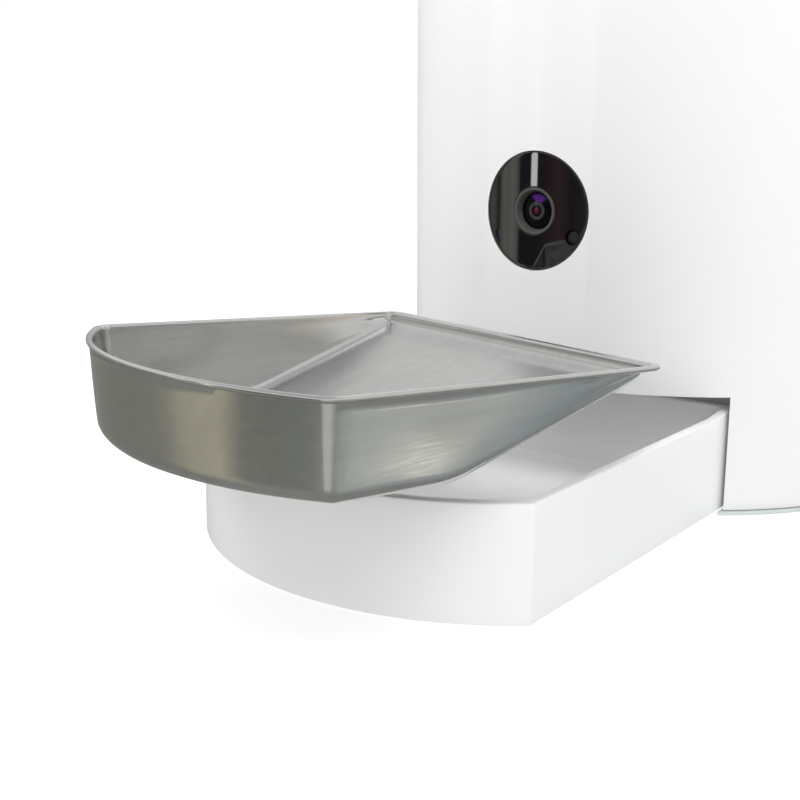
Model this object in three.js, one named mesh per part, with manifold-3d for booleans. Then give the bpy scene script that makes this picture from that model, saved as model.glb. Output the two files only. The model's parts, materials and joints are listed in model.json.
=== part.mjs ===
// Automatic pet feeder: a round hopper tower with a camera window, a front tray that stands in a
// notch of the tower, and a wedge-shaped steel bowl that has been lifted out of the tray.
// Millimetres, +Z up, -Y towards the pet. The origin is on the floor, on the tower's axis.
import * as THREE from 'three';
import { mergeVertices } from 'three/addons/utils/BufferGeometryUtils.js';
import Module from 'manifold-3d';

const wasm = await Module();
wasm.setup();

// ---- driving dimensions -------------------------------------------------------------------------
const GAP = 0.3;                      // clearance between pieces that touch
const BODY_R = 93;                    // tower, outside
const BODY_WALL = 2.6;
const BODY_TOP = 292;                 // top edge of the tower shell
const SHELL_IN = BODY_R - BODY_WALL;
const BASE_THICK = 2.2;
const BASE_LIP = 1.6;                 // how far the base stands out of the tower
const BASE_EDGE = 0.9;                // thickness of that lip
const SHELL_LOW = 1.2;                // bottom edge of the tower's shell
const BASE_NOTCH_HALF = 57.4;         // half width of the gap for the tray in the base
const BASE_CORNER_R = 5;              // its corners at the lip
const SIDES = 80;                     // facets round the tower

const TRAY_WIDTH = 115;
const TRAY_WALL = 3;
const TRAY_RIM = 31.4;                // height of the rim above the floor
const TRAY_FLOOR = 2.4;
const TRAY_CLEAR = 0.4;               // tray underside above the floor
const TRAY_DRAFT = 0.9;               // how far each side pulls in towards the floor
const TRAY_CORNER_Y = -180.2;         // where the straight sides end
const TRAY_BOW = 21.7;                // sagitta of the curved front
const TRAY_BACK_Y = -63;
const NOTCH_HALF = 58.9;              // half width of the tower's notch
const NOTCH_TOP = 37.3;
const BAY_BACK_Y = -60.2;
const BAY_SKIN = 2;

const BOWL_WIDTH = 107;
const BOWL_LENGTH = 97.8;             // back wall to front corners
const BOWL_BOW = 19;
const BOWL_DEPTH = 24.2;
const BOWL_FLAT = 32;                 // length of the level floor behind the corners
const BOWL_BACK_DEPTH = 4.6;          // depth at the back wall, where the ramp ends
const BOWL_FLANGE = 5.8;
const BOWL_DRAFT = 1.3;
const STEEL = 0.9;
const BOWL_POSITION = [15.8, -132.7, 60.4];   // middle of the back wall at rim height
const BOWL_PITCH = -0.0672;
const BOWL_YAW = -0.2203;

const WINDOW_R = 18.2;
const WINDOW_Z = 92;
const BEZEL_R = 7.4;
const MIC_PLACE = [-13.3, WINDOW_Z - 7.5];
const SENSOR_PLACE = [13.3, WINDOW_Z - 7.5];

const DRUM_R = 54;
const DRUM_FLOOR_Z = 76;
const DRUM_TOP_Z = 114;
const DRUM_SKIN = 2;
const HOPPER_R = 84.5;
const HOPPER_TOP = 288;
const HOPPER_SHOULDER = 166;
const CHUTE_HALF = 24;

const SHAFT_R = 3;
const GEAR_MODULE = 1;
const GEAR_TEETH = 48;
const PINION_TEETH = 16;
const GEAR_Z = 60;
const GEAR_FACE = 6;
const PINION_Y = GEAR_MODULE * (GEAR_TEETH + PINION_TEETH) / 2;
const MOTOR_R = 12.4;

const CELL_R = 12.9;
const CELL_LENGTH = 50;
const CELL_Z = 26;
const CELL_PLACES = [[-27.5, 69.5], [0, 71.5], [27.5, 69.5]];
const DOOR_HALF = 42;
const DOOR_Z = [24, 78];

const BUTTON_Z = 190;
const BUTTON_R = 9;
const INLET_Z = 12;
const RESET_X = 16;
const LATCH_Y = -60;

// ---- solids -------------------------------------------------------------------------------------
function solid(geometry) {
  const bare = geometry.clone();
  bare.deleteAttribute('normal');
  bare.deleteAttribute('uv');
  const merged = mergeVertices(bare, 1e-4);
  const vertProperties = new Float32Array(merged.attributes.position.array);
  const triVerts = new Uint32Array(merged.index.array);
  if (signedVolume(vertProperties, triVerts) < 0) triVerts.reverse();
  return new wasm.Manifold(new wasm.Mesh({ numProp: 3, vertProperties, triVerts }));
}

function signedVolume(points, triangles) {
  const corner = (i) => new THREE.Vector3().fromArray(points, 3 * triangles[i]);
  let volume = 0;
  for (let i = 0; i < triangles.length; i += 3) {
    volume += corner(i).dot(corner(i + 1).cross(corner(i + 2))) / 6;
  }
  return volume;
}

function toGeometry(body) {
  const mesh = body.getMesh();
  const geometry = new THREE.BufferGeometry();
  geometry.setAttribute('position', new THREE.BufferAttribute(mesh.vertProperties, 3));
  geometry.setIndex(new THREE.BufferAttribute(mesh.triVerts, 1));
  geometry.computeVertexNormals();
  return geometry;
}

const fuse = (...bodies) => bodies.reduce((sum, body) => sum.add(body));
const cut = (body, ...tools) => tools.reduce((rest, tool) => rest.subtract(tool), body);

// A box between two corners.
function block([x0, y0, z0], [x1, y1, z1]) {
  const geometry = new THREE.BoxGeometry(x1 - x0, y1 - y0, z1 - z0);
  return solid(geometry.translate((x0 + x1) / 2, (y0 + y1) / 2, (z0 + z1) / 2));
}

// A turned piece about Z: pairs of radius and height that start and end on the axis, or close.
function turned(profile, sides = 48) {
  const points = profile.map(([r, z]) => new THREE.Vector2(r, z));
  return solid(new THREE.LatheGeometry(points, sides).rotateX(Math.PI / 2));
}

function disc(r, z0, z1, sides = 48) {
  return turned([[0, z0], [r, z0], [r, z1], [0, z1]], sides);
}

function ring(outer, inner, z0, z1, sides = 48) {
  return turned([[inner, z0], [outer, z0], [outer, z1], [inner, z1], [inner, z0]], sides);
}

// A round bar along Y, from y0 to y1, centred on x and z.
function barY(r, y0, y1, x, z, sides = 32) {
  const geometry = new THREE.CylinderGeometry(r, r, y1 - y0, sides);
  return solid(geometry.translate(x, (y0 + y1) / 2, z));
}

function prismZ(outline, z0, z1) {
  const shape = new THREE.Shape(outline.map(([x, y]) => new THREE.Vector2(x, y)));
  const geometry = new THREE.ExtrudeGeometry(shape, { depth: z1 - z0, bevelEnabled: false });
  return solid(geometry.translate(0, 0, z0));
}

// A profile in the YZ plane, pushed along X from -half to half.
function prismX(outline, half) {
  const shape = new THREE.Shape(outline.map(([y, z]) => new THREE.Vector2(y, z)));
  const geometry = new THREE.ExtrudeGeometry(shape, { depth: 2 * half, bevelEnabled: false });
  const place = new THREE.Matrix4().set(0, 0, 1, -half, 1, 0, 0, 0, 0, 1, 0, 0, 0, 0, 0, 1);
  return solid(geometry.applyMatrix4(place));
}

// Closed rings of equal length, stacked and capped, make a lofted solid.
function loft(rings) {
  const count = rings[0].length;
  const position = rings.flat(2);
  const index = [];
  for (let level = 0; level < rings.length - 1; level++) {
    for (let i = 0; i < count; i++) {
      const a = level * count + i;
      const b = level * count + (i + 1) % count;
      index.push(a, b, a + count, b, b + count, a + count);
    }
  }
  const faces = THREE.ShapeUtils.triangulateShape(
    rings[0].map(([x, y]) => new THREE.Vector2(x, y)), []);
  const last = (rings.length - 1) * count;
  for (const [a, b, c] of faces) index.push(a, c, b, last + a, last + b, last + c);
  const geometry = new THREE.BufferGeometry();
  geometry.setAttribute('position', new THREE.Float32BufferAttribute(position, 3));
  geometry.setIndex(index);
  return solid(geometry);
}

// ---- materials and naming -----------------------------------------------------------------------
const finish = (color, roughness, metalness = 0) => ({ color, roughness, metalness });
const WHITE = finish(0xf0f0f1, 0.34);
const INNER_WHITE = finish(0xe4e5e6, 0.5);
const PLATE = finish(0xc9d2d0, 0.4);
const STAINLESS = finish(0xa9a9a2, 0.28, 1);
const BLACK_GLOSS = finish(0x0c0b0c, 0.08);
const BLACK = finish(0x18181a, 0.55);
const RUBBER = finish(0x3c3d3f, 0.8);
const SILICONE = finish(0xd7dadb, 0.6);
const NYLON = finish(0xdcd9cf, 0.45);
const ZINC = finish(0xb4b6b8, 0.35, 1);
const BOARD = finish(0x1c5a38, 0.5);
const GLASS = finish(0x2a1838, 0.04);
const CELL = finish(0x2c3138, 0.35, 0.4);
const HOPPER_TINT = finish(0xcfd4d6, 0.25);
const LIGHT = finish(0xcfe8ff, 0.3);
const PAPER = finish(0xe9e6dc, 0.85);

const feeder = new THREE.Group();

function piece(name, body, look, parent = feeder) {
  const mesh = new THREE.Mesh(toGeometry(body), new THREE.MeshStandardMaterial(look));
  mesh.name = name;
  parent.add(mesh);
  return mesh;
}

// ---- outlines -----------------------------------------------------------------------------------
// The plan of the tray and of the bowl: straight sides and a front bowed out as one arc, with
// rounded corners where they meet. It runs anticlockwise, from the back left corner to the back right.
function bowedPlan(half, cornerY, backY, bow, cornerR, arcSteps = 18, cornerSteps = 4) {
  const frontR = (half * half + bow * bow) / (2 * bow);
  const centreY = cornerY - bow + frontR;
  const filletX = half - cornerR;
  const filletY = centreY - Math.sqrt((frontR - cornerR) ** 2 - filletX ** 2);
  const meet = Math.atan2(filletX, centreY - filletY);
  const points = [[half, backY]];
  for (let i = 0; i <= cornerSteps; i++) {
    const turn = (Math.PI / 2 - meet) * (i / cornerSteps);
    points.push([filletX + cornerR * Math.cos(turn), filletY - cornerR * Math.sin(turn)]);
  }
  for (let i = 1; i < arcSteps; i++) {
    const turn = meet * (1 - 2 * i / arcSteps);
    points.push([frontR * Math.sin(turn), centreY - frontR * Math.cos(turn)]);
  }
  const mirrored = points.slice(0, cornerSteps + 2).map(([x, y]) => [-x, y]).reverse();
  return [...points, ...mirrored].reverse();
}

const atHeight = (plan, z) => plan.map(([x, y]) => [x, y, z]);

// ---- tower shell and base -----------------------------------------------------------------------
function towerShell() {
  const tube = ring(BODY_R, SHELL_IN, SHELL_LOW, BODY_TOP, SIDES);
  const bosses = screwPlaces().map(([x, y]) =>
    disc(5.6, BASE_THICK + GAP, 16, 16).translate([x, y, 0]));
  const bores = screwPlaces().map(([x, y]) => disc(1.8, 0, 13, 12).translate([x, y, 0]));
  const notch = block([-NOTCH_HALF, -BODY_R - 5, 0], [NOTCH_HALF, -50, NOTCH_TOP]);
  const window = barY(WINDOW_R + GAP, -BODY_R - 2, -80, 0, WINDOW_Z, 40);
  const button = barY(BUTTON_R + GAP, -BODY_R - 2, -80, 0, BUTTON_Z);
  const light = barY(1.9, -BODY_R - 2, -80, 0, BUTTON_Z - 17, 12);
  const door = block([-DOOR_HALF - GAP, 60, DOOR_Z[0] - GAP], [DOOR_HALF + GAP, 100, DOOR_Z[1] + GAP]);
  const inlet = block([-5.2, 80, INLET_Z - 4.7], [5.2, 100, INLET_Z + 4.7]);
  const reset = barY(2.3, 80, 100, RESET_X, INLET_Z, 12);
  const slots = [-3, -2, -1, 0, 1, 2, 3].map((i) => {
    const half = Math.sqrt(17 ** 2 - (i * 4.6) ** 2);
    return block([i * 4.6 - 1.1, 80, 104 - half], [i * 4.6 + 1.1, 100, 104 + half]);
  });
  return cut(fuse(tube, ...bosses), ...bores, notch, window, button, light, door, inlet, reset,
    ...slots);
}

function screwPlaces() {
  return [[83.5, 20], [-83.5, 20], [66, 54.5], [-66, 54.5]];
}

function footPlaces() {
  return [[70, -34], [-70, -34], [44, 66], [-44, 66]];
}

const FOOT_R = 8;

function basePlate() {
  const lip = disc(BODY_R + BASE_LIP, 0, BASE_EDGE, SIDES);
  const plate = fuse(lip, disc(SHELL_IN - 0.6, 0, BASE_THICK, SIDES));
  const edgeY = -Math.sqrt((BODY_R + BASE_LIP) ** 2 - BASE_NOTCH_HALF ** 2);
  const right = [[BASE_NOTCH_HALF, BAY_BACK_Y - 0.3]];
  for (let k = 0; k <= 6; k += 1) {
    const turn = (Math.PI / 2) * (k / 6);
    right.push([BASE_NOTCH_HALF + BASE_CORNER_R * (1 - Math.cos(turn)),
      edgeY + BASE_CORNER_R * (0.8 - Math.sin(turn))]);
  }
  right.push([BASE_NOTCH_HALF + BASE_CORNER_R, -110]);
  const left = right.map(([x, y]) => [-x, y]).reverse();
  const notch = prismZ([...right, ...left], -1, BASE_THICK + 1);
  const pockets = footPlaces().map(([x, y]) =>
    disc(FOOT_R + GAP, -1, 1.3, 24).translate([x, y, 0]));
  const heads = screwPlaces().map(([x, y]) => disc(3.4, -1, 1.4, 12).translate([x, y, 0]));
  const holes = screwPlaces().map(([x, y]) => disc(1.8, -1, 4, 12).translate([x, y, 0]));
  return cut(plate, notch, ...pockets, ...heads, ...holes);
}

piece('tower_shell', towerShell(), WHITE);
piece('base_plate', basePlate(), PLATE);
footPlaces().forEach(([x, y], i) => {
  piece(`foot_${i + 1}`, disc(FOOT_R, 0, 1, 24).translate([x, y, 0]), RUBBER);
});
screwPlaces().forEach(([x, y], i) => {
  const screw = turned([[0, 0.3], [3, 0.3], [3, 1.1], [1.5, 1.1], [1.5, 12], [0, 12]], 12);
  piece(`base_screw_${i + 1}`, screw.translate([x, y, 0]), ZINC);
});

// ---- tray bay: the pocket in the tower that the tray stands in ----------------------------------
function trayBay() {
  const side = NOTCH_HALF + 0.4;
  const roof = NOTCH_TOP + 0.9;
  const bottom = BASE_THICK + GAP;
  const outer = block([-side - BAY_SKIN, -100, bottom],
    [side + BAY_SKIN, BAY_BACK_Y + BAY_SKIN, roof + BAY_SKIN]);
  const inner = block([-side, -101, -1], [side, BAY_BACK_Y, roof]);
  const outlet = block([-CHUTE_HALF + 2, -82, roof - 1], [CHUTE_HALF - 2, -62, roof + 5]);
  return cut(outer, inner, outlet).intersect(disc(SHELL_IN - GAP, -1, 60, SIDES));
}

// The chute carries the kibble from the drum's outlet down to the roof of the bay.
function foodChute() {
  const low = NOTCH_TOP + 0.9 + BAY_SKIN + GAP;
  const high = DRUM_FLOOR_Z - GAP;
  const outer = prismX([[-84, low], [-60, low], [-22, high], [-48, high]], CHUTE_HALF);
  const inner = prismX([[-82, low - 2], [-62.4, low - 2], [-62.4, low + 1], [-24, high + 2],
    [-46, high + 2], [-82, low + 1]], CHUTE_HALF - 2);
  return cut(outer, inner);
}

piece('tray_bay', trayBay(), INNER_WHITE);
piece('food_chute', foodChute(), INNER_WHITE);

// ---- tray ---------------------------------------------------------------------------------------
function foodTray() {
  const plan = (inset) => bowedPlan(TRAY_WIDTH / 2 - inset, TRAY_CORNER_Y + inset * 0.8,
    TRAY_BACK_Y - inset, TRAY_BOW - inset * 0.2, 3.5 + inset * 0.6);
  const outer = loft([atHeight(plan(TRAY_DRAFT), TRAY_CLEAR), atHeight(plan(0), TRAY_RIM)]);
  const inner = loft([atHeight(plan(TRAY_WALL + TRAY_DRAFT), TRAY_CLEAR + TRAY_FLOOR),
    atHeight(plan(TRAY_WALL), TRAY_RIM + 1)]);
  return cut(outer, inner);
}

piece('food_tray', foodTray(), WHITE);

// ---- steel bowl ---------------------------------------------------------------------------------
// Drawn with its rim in the plane z = 0 and its back wall in the plane y = 0. The floor is level
// behind the bowed front and then rises as a ramp, so that kibble slides to the front.
function bowlBody(inset, top) {
  const half = BOWL_WIDTH / 2 - inset;
  const plan = bowedPlan(half, -BOWL_LENGTH + inset, -inset, BOWL_BOW, 4 - inset);
  const depth = BOWL_DEPTH - inset;
  const low = bowedPlan(half - BOWL_DRAFT, -BOWL_LENGTH + inset + BOWL_DRAFT, -inset, BOWL_BOW,
    4 - inset);
  const walls = loft([atHeight(low, -depth), atHeight(plan, 0), atHeight(plan, top)]);
  const rampStart = -BOWL_LENGTH + BOWL_FLAT + inset * 0.3;
  const underRamp = prismX([[rampStart, -BOWL_DEPTH + inset], [60, -BOWL_DEPTH + inset],
    [60, -BOWL_BACK_DEPTH + inset], [0, -BOWL_BACK_DEPTH + inset]], BOWL_WIDTH);
  const floor = prismX([[rampStart - 300, -60], [60, -60], [60, -depth], [rampStart - 300, -depth]],
    BOWL_WIDTH);
  return cut(walls, underRamp, floor);
}

function steelBowl() {
  const half = BOWL_WIDTH / 2;
  const flange = block([-half + 1, -2, -1.4], [half - 1, BOWL_FLANGE, 0]);
  const rim = bowedPlan(half + 0.8, -BOWL_LENGTH - 0.8, 0.4, BOWL_BOW, 4.6);
  const bead = loft([atHeight(rim, -2), atHeight(rim, 0)]);
  return cut(fuse(bowlBody(0, 0), flange, bead), bowlBody(STEEL, 3));
}

const bowl = piece('steel_bowl', steelBowl(), STAINLESS);
bowl.position.set(...BOWL_POSITION);
bowl.rotation.set(BOWL_PITCH, 0, BOWL_YAW, 'ZXY');

// ---- camera -------------------------------------------------------------------------------------
function cameraWindow() {
  const curved = ring(BODY_R, BODY_R - 2, WINDOW_Z - 30, WINDOW_Z + 30, SIDES * 2);
  const outline = barY(WINDOW_R, -100, -80, 0, WINDOW_Z, 40);
  const eye = barY(BEZEL_R + 0.3, -100, -80, 0, WINDOW_Z, 28);
  const left = barY(1.7, -100, -80, MIC_PLACE[0], MIC_PLACE[1], 12);
  const right = barY(2.4, -100, -80, SENSOR_PLACE[0], SENSOR_PLACE[1], 12);
  return cut(curved.intersect(outline), eye, left, right);
}

// A turned piece about the lens axis, which points along -Y: pairs of radius and depth.
function lensTurned(profile, sides = 28) {
  const flipped = profile.map(([r, depth]) => [r, -depth]);
  return turned(flipped, sides).rotate([90, 0, 0]).translate([0, -BODY_R, WINDOW_Z]);
}

piece('camera_window', cameraWindow(), BLACK_GLOSS);
piece('lens_bezel', lensTurned([[BEZEL_R, 0.1], [6.9, 0.1], [4.9, 3.6], [4.9, 8], [BEZEL_R, 8],
  [BEZEL_R, 0.1]]), BLACK);
piece('lens_barrel', lensTurned([[0, 6], [3, 6], [3, 5], [3.2, 3.4], [4.6, 3.4], [4.6, 18], [0, 18]]),
  BLACK);
piece('lens_glass', lensTurned([[0, 3.7], [1.2, 3.9], [2.2, 4.4], [2.7, 5], [2.7, 5.7],
  [0, 5.7]]), GLASS);
piece('microphone', barY(1.4, -92.2, -88, ...MIC_PLACE, 12), BLACK);
piece('light_sensor', barY(2.1, -92.2, -88, ...SENSOR_PLACE, 12), BLACK_GLOSS);
piece('camera_board', fuse(block([-15, -74.6, WINDOW_Z - 13], [15, -73, WINDOW_Z + 13]),
  block([-7, -73.2, WINDOW_Z - 7], [7, -70.5, WINDOW_Z + 7])), BOARD);

// ---- hopper, drum and food wheel ----------------------------------------------------------------
function hopper() {
  const neck = DRUM_R - 6;
  const low = DRUM_TOP_Z + GAP;
  return turned([[neck, low], [DRUM_R, low], [DRUM_R, low + 2], [HOPPER_R, HOPPER_SHOULDER],
    [HOPPER_R, HOPPER_TOP], [HOPPER_R - 2, HOPPER_TOP], [HOPPER_R - 2, HOPPER_SHOULDER + 0.6],
    [neck, low + 3], [neck, low]], SIDES - 8);
}

function wheelDrum() {
  const cup = cut(disc(DRUM_R, DRUM_FLOOR_Z, DRUM_TOP_Z, 56),
    disc(DRUM_R - DRUM_SKIN, DRUM_FLOOR_Z + DRUM_SKIN, DRUM_TOP_Z + 1, 56));
  const outlet = block([-CHUTE_HALF + 3, -45.5, 60], [CHUTE_HALF - 3, -24.5, DRUM_FLOOR_Z + 3]);
  return cut(cup, outlet, disc(6.4, 60, 90, 20));
}

function foodWheel() {
  const low = DRUM_FLOOR_Z + DRUM_SKIN + 0.6;
  const high = DRUM_TOP_Z - 1.5;
  const hub = disc(11, low, high, 24);
  const vanes = [];
  for (let i = 0; i < 6; i++) {
    vanes.push(block([8, -1.1, low], [48, 1.1, high]).rotate([0, 0, 60 * i]));
  }
  return cut(fuse(hub, ...vanes), disc(SHAFT_R + GAP, 0, 200, 16));
}

function wiperBlade(i) {
  const low = DRUM_FLOOR_Z + DRUM_SKIN + 0.8;
  return block([48.3, -1, low], [51.3, 1, DRUM_TOP_Z - 3]).rotate([0, 0, 60 * i]);
}

function stirrer() {
  const low = DRUM_TOP_Z - 1.2;
  const cap = turned([[0, low], [9, low], [9, low + 5], [4, low + 12], [0, low + 12]], 20);
  const arms = [0, 120, 240].map((turn) =>
    block([3, -1.6, low + 1.5], [36, 1.6, low + 5]).rotate([0, 0, turn]));
  return cut(fuse(cap, ...arms), disc(SHAFT_R + GAP, 0, low + 9, 16));
}

// A spur gear about Z with straight-flanked teeth, one of them centred on the given angle.
function spurGear(teeth, z0, z1, bore, toothAngle) {
  const pitchR = GEAR_MODULE * teeth / 2;
  const flank = Math.tan(THREE.MathUtils.degToRad(20));
  const halfPitch = Math.PI * GEAR_MODULE / 4 - 0.17;
  const heights = [-1.25, 1, 1, -1.25];
  const sides = [-1, -1, 1, 1];
  const outline = [];
  for (let i = 0; i < teeth; i++) {
    heights.forEach((height, corner) => {
      const r = pitchR + height * GEAR_MODULE;
      const halfWidth = halfPitch - height * GEAR_MODULE * flank;
      const angle = toothAngle + 2 * Math.PI * i / teeth + sides[corner] * halfWidth / r;
      outline.push([r * Math.cos(angle), r * Math.sin(angle)]);
    });
  }
  return cut(prismZ(outline, z0, z1), disc(bore, z0 - 1, z1 + 1, 16));
}

piece('hopper', hopper(), HOPPER_TINT);
piece('wheel_drum', wheelDrum(), INNER_WHITE);
piece('food_wheel', foodWheel(), NYLON);
for (let i = 0; i < 6; i++) piece(`wiper_blade_${i + 1}`, wiperBlade(i), SILICONE);
piece('stirrer', stirrer(), NYLON);
piece('drive_shaft', disc(SHAFT_R, GEAR_Z - 2.5, DRUM_TOP_Z + 7, 16), ZINC);
piece('shaft_bush', ring(6.1, SHAFT_R + 0.3, DRUM_FLOOR_Z - 4, DRUM_FLOOR_Z + 2, 20), NYLON);
piece('drive_gear', spurGear(GEAR_TEETH, GEAR_Z, GEAR_Z + GEAR_FACE, SHAFT_R + GAP, Math.PI / 2), NYLON);

// ---- motor --------------------------------------------------------------------------------------
function motorBracket() {
  const plate = block([-32, -17, 55], [32, 48, 57]);
  const posts = [[28, -13], [-28, -13], [26, 42], [-26, 42]].map(([x, y]) =>
    disc(3.4, 56, DRUM_FLOOR_Z - GAP, 12).translate([x, y, 0]));
  const shaftHole = disc(SHAFT_R + 1, 50, 60, 16);
  const pinionHole = disc(4.5, 50, 60, 16).translate([0, PINION_Y, 0]);
  return cut(fuse(plate, ...posts), shaftHole, pinionHole);
}

const pinionGroup = new THREE.Group();
pinionGroup.position.set(0, PINION_Y, 0);
feeder.add(pinionGroup);
const halfTooth = Math.PI / PINION_TEETH;
piece('motor_pinion', spurGear(PINION_TEETH, GEAR_Z - 0.5, GEAR_Z + GEAR_FACE + 0.5, 1.9,
  -Math.PI / 2 + halfTooth), NYLON, pinionGroup);
piece('motor_shaft', disc(1.6, 54.8, GEAR_Z + GEAR_FACE + 2, 12), ZINC, pinionGroup);
piece('motor', turned([[0, 22], [MOTOR_R, 22], [MOTOR_R, 51], [8, 52.5], [8, 54.5], [0, 54.5]], 28),
  ZINC, pinionGroup);
piece('motor_bracket', motorBracket(), INNER_WHITE);

// ---- electronics --------------------------------------------------------------------------------
function mainBoard() {
  const board = block([-66, -30, 12], [-64.4, 34, 70]);
  const chips = [[-20, 20, 16, 14], [6, 22, 20, 16], [-22, 46, 12, 18], [14, 50, 14, 12]];
  const parts = chips.map(([y, z, length, height]) =>
    block([-64.6, y, z], [-61.6, y + length, z + height]));
  return fuse(board, ...parts);
}

function speaker() {
  const frame = turned([[0, 0], [20, 0], [20, 3], [12, 3], [12, 9], [0, 9]], 28);
  return frame.rotate([90, 0, 0]).translate([0, 85, 104]);
}

function powerInlet() {
  const body = block([-4.8, 76, INLET_Z - 4.4], [4.8, 91.6, INLET_Z + 4.4]);
  return cut(body, barY(3.4, 81, 95, 0, INLET_Z, 20));
}

piece('main_board', mainBoard(), BOARD);
piece('speaker', speaker(), BLACK);
piece('power_inlet', powerInlet(), BLACK);
piece('reset_button', barY(1.9, 87, 91.4, RESET_X, INLET_Z, 12), BLACK);

// ---- batteries ----------------------------------------------------------------------------------
function batteryBox() {
  const outer = block([-44, 54, DOOR_Z[0] - 2], [44, 100, DOOR_Z[1] + 2]);
  const inner = block([-42, 56, DOOR_Z[0]], [42, 101, DOOR_Z[1]]);
  return cut(outer, inner).intersect(disc(SHELL_IN - GAP, 0, 100, SIDES));
}

function batteryDoor() {
  const panel = ring(BODY_R, SHELL_IN, DOOR_Z[0], DOOR_Z[1], SIDES);
  return panel.intersect(block([-DOOR_HALF, 70, 0], [DOOR_HALF, 100, 100]));
}

piece('battery_box', batteryBox(), INNER_WHITE);
piece('battery_door', batteryDoor(), WHITE);
CELL_PLACES.forEach(([x, y], i) => {
  const top = CELL_Z + CELL_LENGTH;
  const cell = turned([[0, CELL_Z], [CELL_R, CELL_Z], [CELL_R, top - 1.5], [3.4, top - 1.5],
    [3.4, top], [0, top]], 24);
  piece(`cell_${i + 1}`, cell.translate([x, y, 0]), CELL);
});
piece('contact_strip_low', block([-40, 57, DOOR_Z[0] + 0.4], [40, 84, DOOR_Z[0] + 1.2])
  .intersect(disc(88, 0, 100, 48)), ZINC);

// ---- feed button and status light ---------------------------------------------------------------
piece('feed_button', barY(BUTTON_R, -BODY_R - 0.6, -88.6, 0, BUTTON_Z), WHITE);
piece('status_light', barY(1.5, -BODY_R, -88.6, 0, BUTTON_Z - 17, 12), LIGHT);

// ---- lid ----------------------------------------------------------------------------------------
const LID_LOW = BODY_TOP + GAP;

function lidTop() {
  const skin = turned([[BODY_R - 2.6, LID_LOW], [BODY_R, LID_LOW], [BODY_R, LID_LOW + 12],
    [BODY_R - 1.2, LID_LOW + 15], [BODY_R - 5, LID_LOW + 17.2], [60, LID_LOW + 20.4],
    [30, LID_LOW + 21.6], [0, LID_LOW + 22], [0, LID_LOW + 19.6], [30, LID_LOW + 19.2],
    [60, LID_LOW + 18], [BODY_R - 6, LID_LOW + 14.8], [BODY_R - 2.6, LID_LOW + 11.5],
    [BODY_R - 2.6, LID_LOW]], SIDES);
  const latchHole = block([-15.3, LATCH_Y - 7.3, LID_LOW + 5], [15.3, LATCH_Y + 7.3, LID_LOW + 30]);
  return cut(skin, latchHole);
}

function lidLiner() {
  const plate = disc(SHELL_IN - 1.2, LID_LOW + 1, LID_LOW + 3, 64);
  const plug = ring(79.6, 77.6, LID_LOW - 12, LID_LOW + 2, 64);
  const latchHole = block([-12, LATCH_Y - 4, LID_LOW - 2], [12, LATCH_Y + 4, LID_LOW + 5]);
  return cut(fuse(plate, plug), latchHole);
}

function lidLatch() {
  const surface = LID_LOW + 20.6;
  const cap = block([-15, LATCH_Y - 7, surface - 5], [15, LATCH_Y + 7, surface + 0.6]);
  const stem = block([-5, LATCH_Y - 2, LID_LOW + 4.5], [5, LATCH_Y + 2, surface - 4]);
  return fuse(cap, stem);
}

piece('lid_top', lidTop(), WHITE);
piece('lid_liner', lidLiner(), INNER_WHITE);
piece('lid_seal', ring(82.1, 79.9, LID_LOW - 9, LID_LOW - 5, 64), SILICONE);
piece('lid_latch', lidLatch(), WHITE);
const CUP_TOP = LID_LOW + 1 - GAP;
piece('desiccant_cup', cut(disc(27, CUP_TOP - 18, CUP_TOP, 40), disc(25, CUP_TOP - 20, CUP_TOP - 2, 40)),
  INNER_WHITE);
piece('desiccant_pack', block([-15, -15, CUP_TOP - 13], [15, 15, CUP_TOP - 4]), PAPER);
const coverSlots = [-2, -1, 0, 1, 2].map((i) =>
  block([i * 7 - 1.2, -12, CUP_TOP - 30], [i * 7 + 1.2, 12, CUP_TOP]));
piece('desiccant_cover', cut(disc(24.6, CUP_TOP - 18, CUP_TOP - 15.6, 40), ...coverSlots),
  INNER_WHITE);

export default feeder;
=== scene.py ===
"""Finished look of the automatic pet feeder: shell, tray, steel bowl, camera, lid and insides."""

import json
import math

import bmesh
import bpy
from mathutils import Matrix, Vector


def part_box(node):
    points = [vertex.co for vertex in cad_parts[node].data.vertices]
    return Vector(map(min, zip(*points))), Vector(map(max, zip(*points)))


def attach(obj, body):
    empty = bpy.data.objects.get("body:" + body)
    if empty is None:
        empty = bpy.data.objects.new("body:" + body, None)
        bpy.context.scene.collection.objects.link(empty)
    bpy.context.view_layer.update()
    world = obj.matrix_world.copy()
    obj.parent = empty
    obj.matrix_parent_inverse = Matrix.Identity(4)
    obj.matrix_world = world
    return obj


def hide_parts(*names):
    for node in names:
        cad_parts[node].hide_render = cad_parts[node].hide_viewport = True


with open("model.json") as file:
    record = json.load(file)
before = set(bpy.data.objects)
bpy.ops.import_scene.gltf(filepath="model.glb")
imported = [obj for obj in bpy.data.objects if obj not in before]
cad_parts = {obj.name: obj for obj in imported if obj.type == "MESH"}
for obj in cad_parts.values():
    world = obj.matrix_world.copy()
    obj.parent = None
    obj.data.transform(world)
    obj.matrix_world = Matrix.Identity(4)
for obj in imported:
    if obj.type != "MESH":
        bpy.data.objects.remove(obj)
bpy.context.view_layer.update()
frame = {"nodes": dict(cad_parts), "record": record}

MM = 0.001
scene = bpy.context.scene
NODES = frame["nodes"]
BODY_OF = {node: body for body, nodes in frame["record"]["behaviour"]["bodies"].items()
           for node in nodes}


def low(node):
    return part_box(node)[0]


def high(node):
    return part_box(node)[1]


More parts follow.
